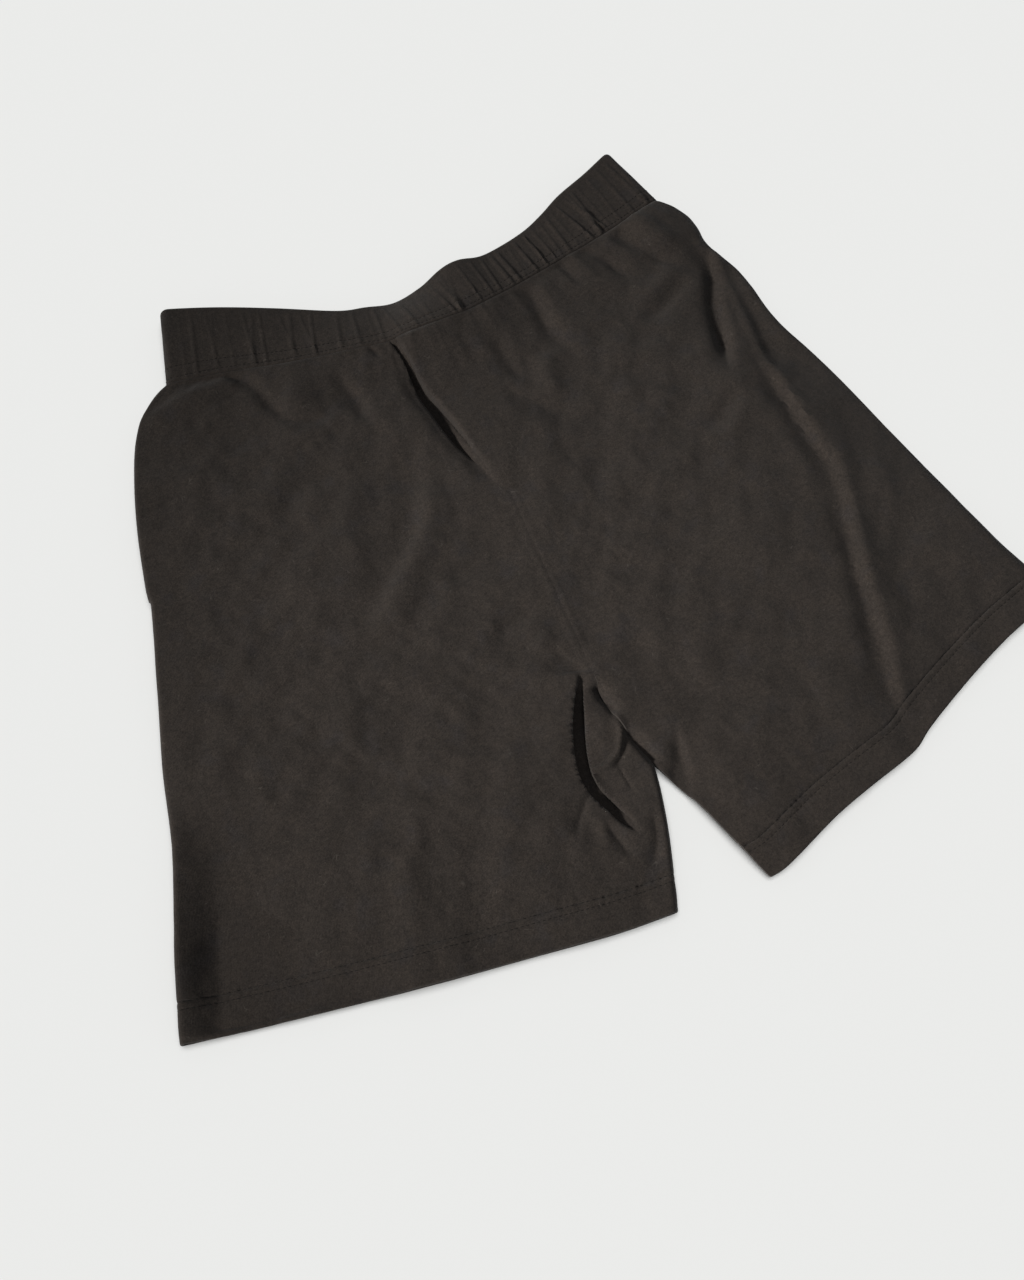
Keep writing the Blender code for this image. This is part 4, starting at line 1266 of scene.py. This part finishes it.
def overlock(name, line, height, nodes, width=6.0):
    """A seam allowance seen from inside: the two cut edges and the thread wound over them."""
    curve = Curve(line)
    count = int(curve.length / OVERLOCK_STEP)
    t = np.linspace(0, 1, count)
    centre = curve(t)
    tangent = unit(np.gradient(centre, axis=0))
    side = np.stack([-tangent[:, 1], tangent[:, 0]], -1)
    z = height(centre)
    strip = np.array([with_height(centre + side * s * width / 2, z - 0.12 * abs(s))
                      for s in np.linspace(-1, 1, OVERLOCK_ROWS)])
    uv = np.stack(np.meshgrid(t * curve.length, np.linspace(0, width, OVERLOCK_ROWS)), -1)
    cloth(name, strip, 0.7, thread_material, nodes, uv)
    swing = np.where(np.arange(count) % 2 == 0, -0.5, 0.46) * width
    zigzag = with_height(centre + side * swing[:, None], z + 0.42)
    data = bpy.data.curves.new(name + "_loops", "CURVE")
    data.dimensions = "3D"
    data.bevel_depth = 0.16 * MM
    data.bevel_resolution = 1
    winding = data.splines.new("POLY")
    winding.points.add(count - 1)
    for place, point in zip(winding.points, to_frame(zigzag)):
        place.co = (*point, 1.0)
    data.materials.append(thread_material)
    loops = placed(name + "_loops", data)
    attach(loops, "root")


def make_seams():
    """The overlocked allowances of the two rises, the inseam and the sides below the pockets."""
    right, left = LEGS["right"], LEGS["left"]
    rise_line = [right.at(0, v) for v in np.linspace(0.045, 0.60, 7)]
    overlock("front_rise_overlock", rise_line, under_front, ["front_rise_seam"])
    overlock("back_rise_overlock", rise_line, on_back, ["back_rise_seam"])
    shares = (0.925, 0.88, 0.84, 0.80)
    down_right = [right.at(11 / right.width(v), v) for v in shares]
    up_left = [left.at(11 / left.width(v), v) for v in shares[::-1]]
    arch = [right.at(0, 0.755) + (-5, 0), right.at(0, 0.735), left.at(0, 0.755) + (5, 0)]
    overlock("inseam_overlock", [*down_right, *arch, *up_left], on_back, ["inseam_seam"], 5.0)
    for side, leg in LEGS.items():
        beside = [leg.at(1 - 9 / leg.width(v), v) for v in np.linspace(0.45, 0.92, 6)]
        overlock(f"{side}_side_overlock", beside, on_back, [f"{side}_side_seam"], 5.0)


def make_label():
    """The care label: a blank satin ribbon folded in two, with its ends in the back of the waist seam."""
    x, y = band_foot(CENTRE_A)
    ply = np.linspace(0, 30, 14)
    turn = np.radians([15, 50, 90, 130, 165])
    drop = np.concatenate([ply, 32 + 1.2 * np.sin(turn), ply[::-1]])
    lift = np.concatenate([0 * ply, 0.45 * (1 - np.cos(turn)), 0 * ply + 0.9])
    base = 3.2 + 2.2 * (1 - smooth(drop / 16))
    xs = np.linspace(-15, 15, 13)
    middle = np.array([[(x + s, y - 3 - d, b + l) for s in xs] for d, b, l in zip(drop, base, lift)])
    label = cloth("blank_label", middle, 0.22, ribbon, ["care_label"], cloth_uv(middle))


for side, leg in LEGS.items():
    make_pocket(side, leg)
make_seams()
make_label()


# --------------------------------------------------------------------------------- stage, light and camera


def make_stage():
    """A plain pale floor, a hair below the cloth."""
    floor = placed("floor", square("floor", 4.0))
    floor.location.z = -0.0002
    looks = {"Base Color": (0.80, 0.80, 0.785), "Roughness": 0.9, "Specular IOR Level": 0.1}
    floor.data.materials.append(Nodes("pale_floor", looks).material)
    return floor


def lamp(name, kind, place, lit, **values):
    """A lamp that lights only the objects of one collection."""
    data = bpy.data.lights.new(name, kind)
    for key, value in values.items():
        setattr(data, key, value)
    light = placed(name, data)
    light.location = place
    light.light_linking.receiver_collection = lit
    return light


TURN = math.radians(22)  # the camera looks this far round from the shorts' own +Y
PITCH = math.radians(68)  # and this far down
CAMERA_PLACE = np.array([-145.2, -212.7, 715.0])  # from the crotch, in millimetres
LENS, SENSOR_WIDTH = 33.75, 36


def make_camera():
    """The photo's place and lens, from the shorts' lower right."""
    data = bpy.data.cameras.new("camera")
    data.lens = LENS
    data.sensor_width = SENSOR_WIDTH
    data.clip_start = 0.01
    camera = placed("camera", data)
    ahead = Vector((math.sin(TURN) * math.cos(PITCH), math.cos(TURN) * math.cos(PITCH), -math.sin(PITCH)))
    right = Vector((math.cos(TURN), -math.sin(TURN), 0))
    up = right.cross(ahead)
    camera.matrix_world = (Matrix.Translation(Vector(to_frame(CAMERA_PLACE)))
                           @ Matrix((right, up, -ahead)).transposed().to_4x4())
    bpy.context.scene.camera = camera


KEY_TURN = math.radians(187)  # of the key light, from the shorts' own +X
KEY_RISE = math.radians(32)
KEY_DISTANCE = 2100.0
KEY_AROUND = np.array([0.0, 98.0, 0.0])  # where that turn and distance start
KEY_TARGET = np.array([350.0, 60.0, 10.0])
KEY_CONE = 2 * math.radians(14.5)  # it fades all the way from its middle to its rim
KEY_RADIUS = 0.2  # in metres: the larger, the softer its shadows
KEY_POWER = 230
KEY_COLOUR = (1.0, 0.955, 0.89)
FILL_PLACE = np.array([50.0, -100.0, 470.0])
FILL_SIZE, FILL_POWER = 0.3, 0.2
WASH_POWER = 2.75
SKY_COLOUR = (0.95, 0.98, 1.0, 1)
SKY_STRENGTH = 0.17


def make_light(floor):
    """One soft key light that grazes the cloth, a weak fill, a wash on the floor alone, and a weak even sky."""
    world = bpy.data.worlds.new("studio")
    world.use_nodes = True
    background = world.node_tree.nodes["Background"]
    background.inputs["Color"].default_value = SKY_COLOUR
    background.inputs["Strength"].default_value = SKY_STRENGTH
    bpy.context.scene.world = world
    cloth_only, floor_only = (bpy.data.collections.new(name) for name in ("all_but_floor", "floor_only"))
    for collection in (cloth_only, floor_only):
        collection.objects.link(floor)
    cloth_only.collection_objects[0].light_linking.link_state = "EXCLUDE"

    out = np.array([math.cos(KEY_TURN) * math.cos(KEY_RISE), math.sin(KEY_TURN) * math.cos(KEY_RISE),
                    math.sin(KEY_RISE)])
    place = to_frame(KEY_AROUND + KEY_DISTANCE * out)
    key = lamp("key", "SPOT", place, cloth_only, shadow_soft_size=KEY_RADIUS, spot_size=KEY_CONE, spot_blend=1.0,
               energy=KEY_POWER, color=KEY_COLOUR)
    key.rotation_euler = (Vector(to_frame(KEY_TARGET)) - Vector(place)).to_track_quat("-Z", "Y").to_euler()
    lamp("fill", "AREA", to_frame(FILL_PLACE), cloth_only, shape="DISK", size=FILL_SIZE, energy=FILL_POWER)
    lamp("floor_wash", "SUN", (0, 0, 0), floor_only, energy=WASH_POWER, angle=math.radians(50))
    bpy.context.scene.view_settings.view_transform = "Standard"


floor = make_stage()
make_camera()
make_light(floor)
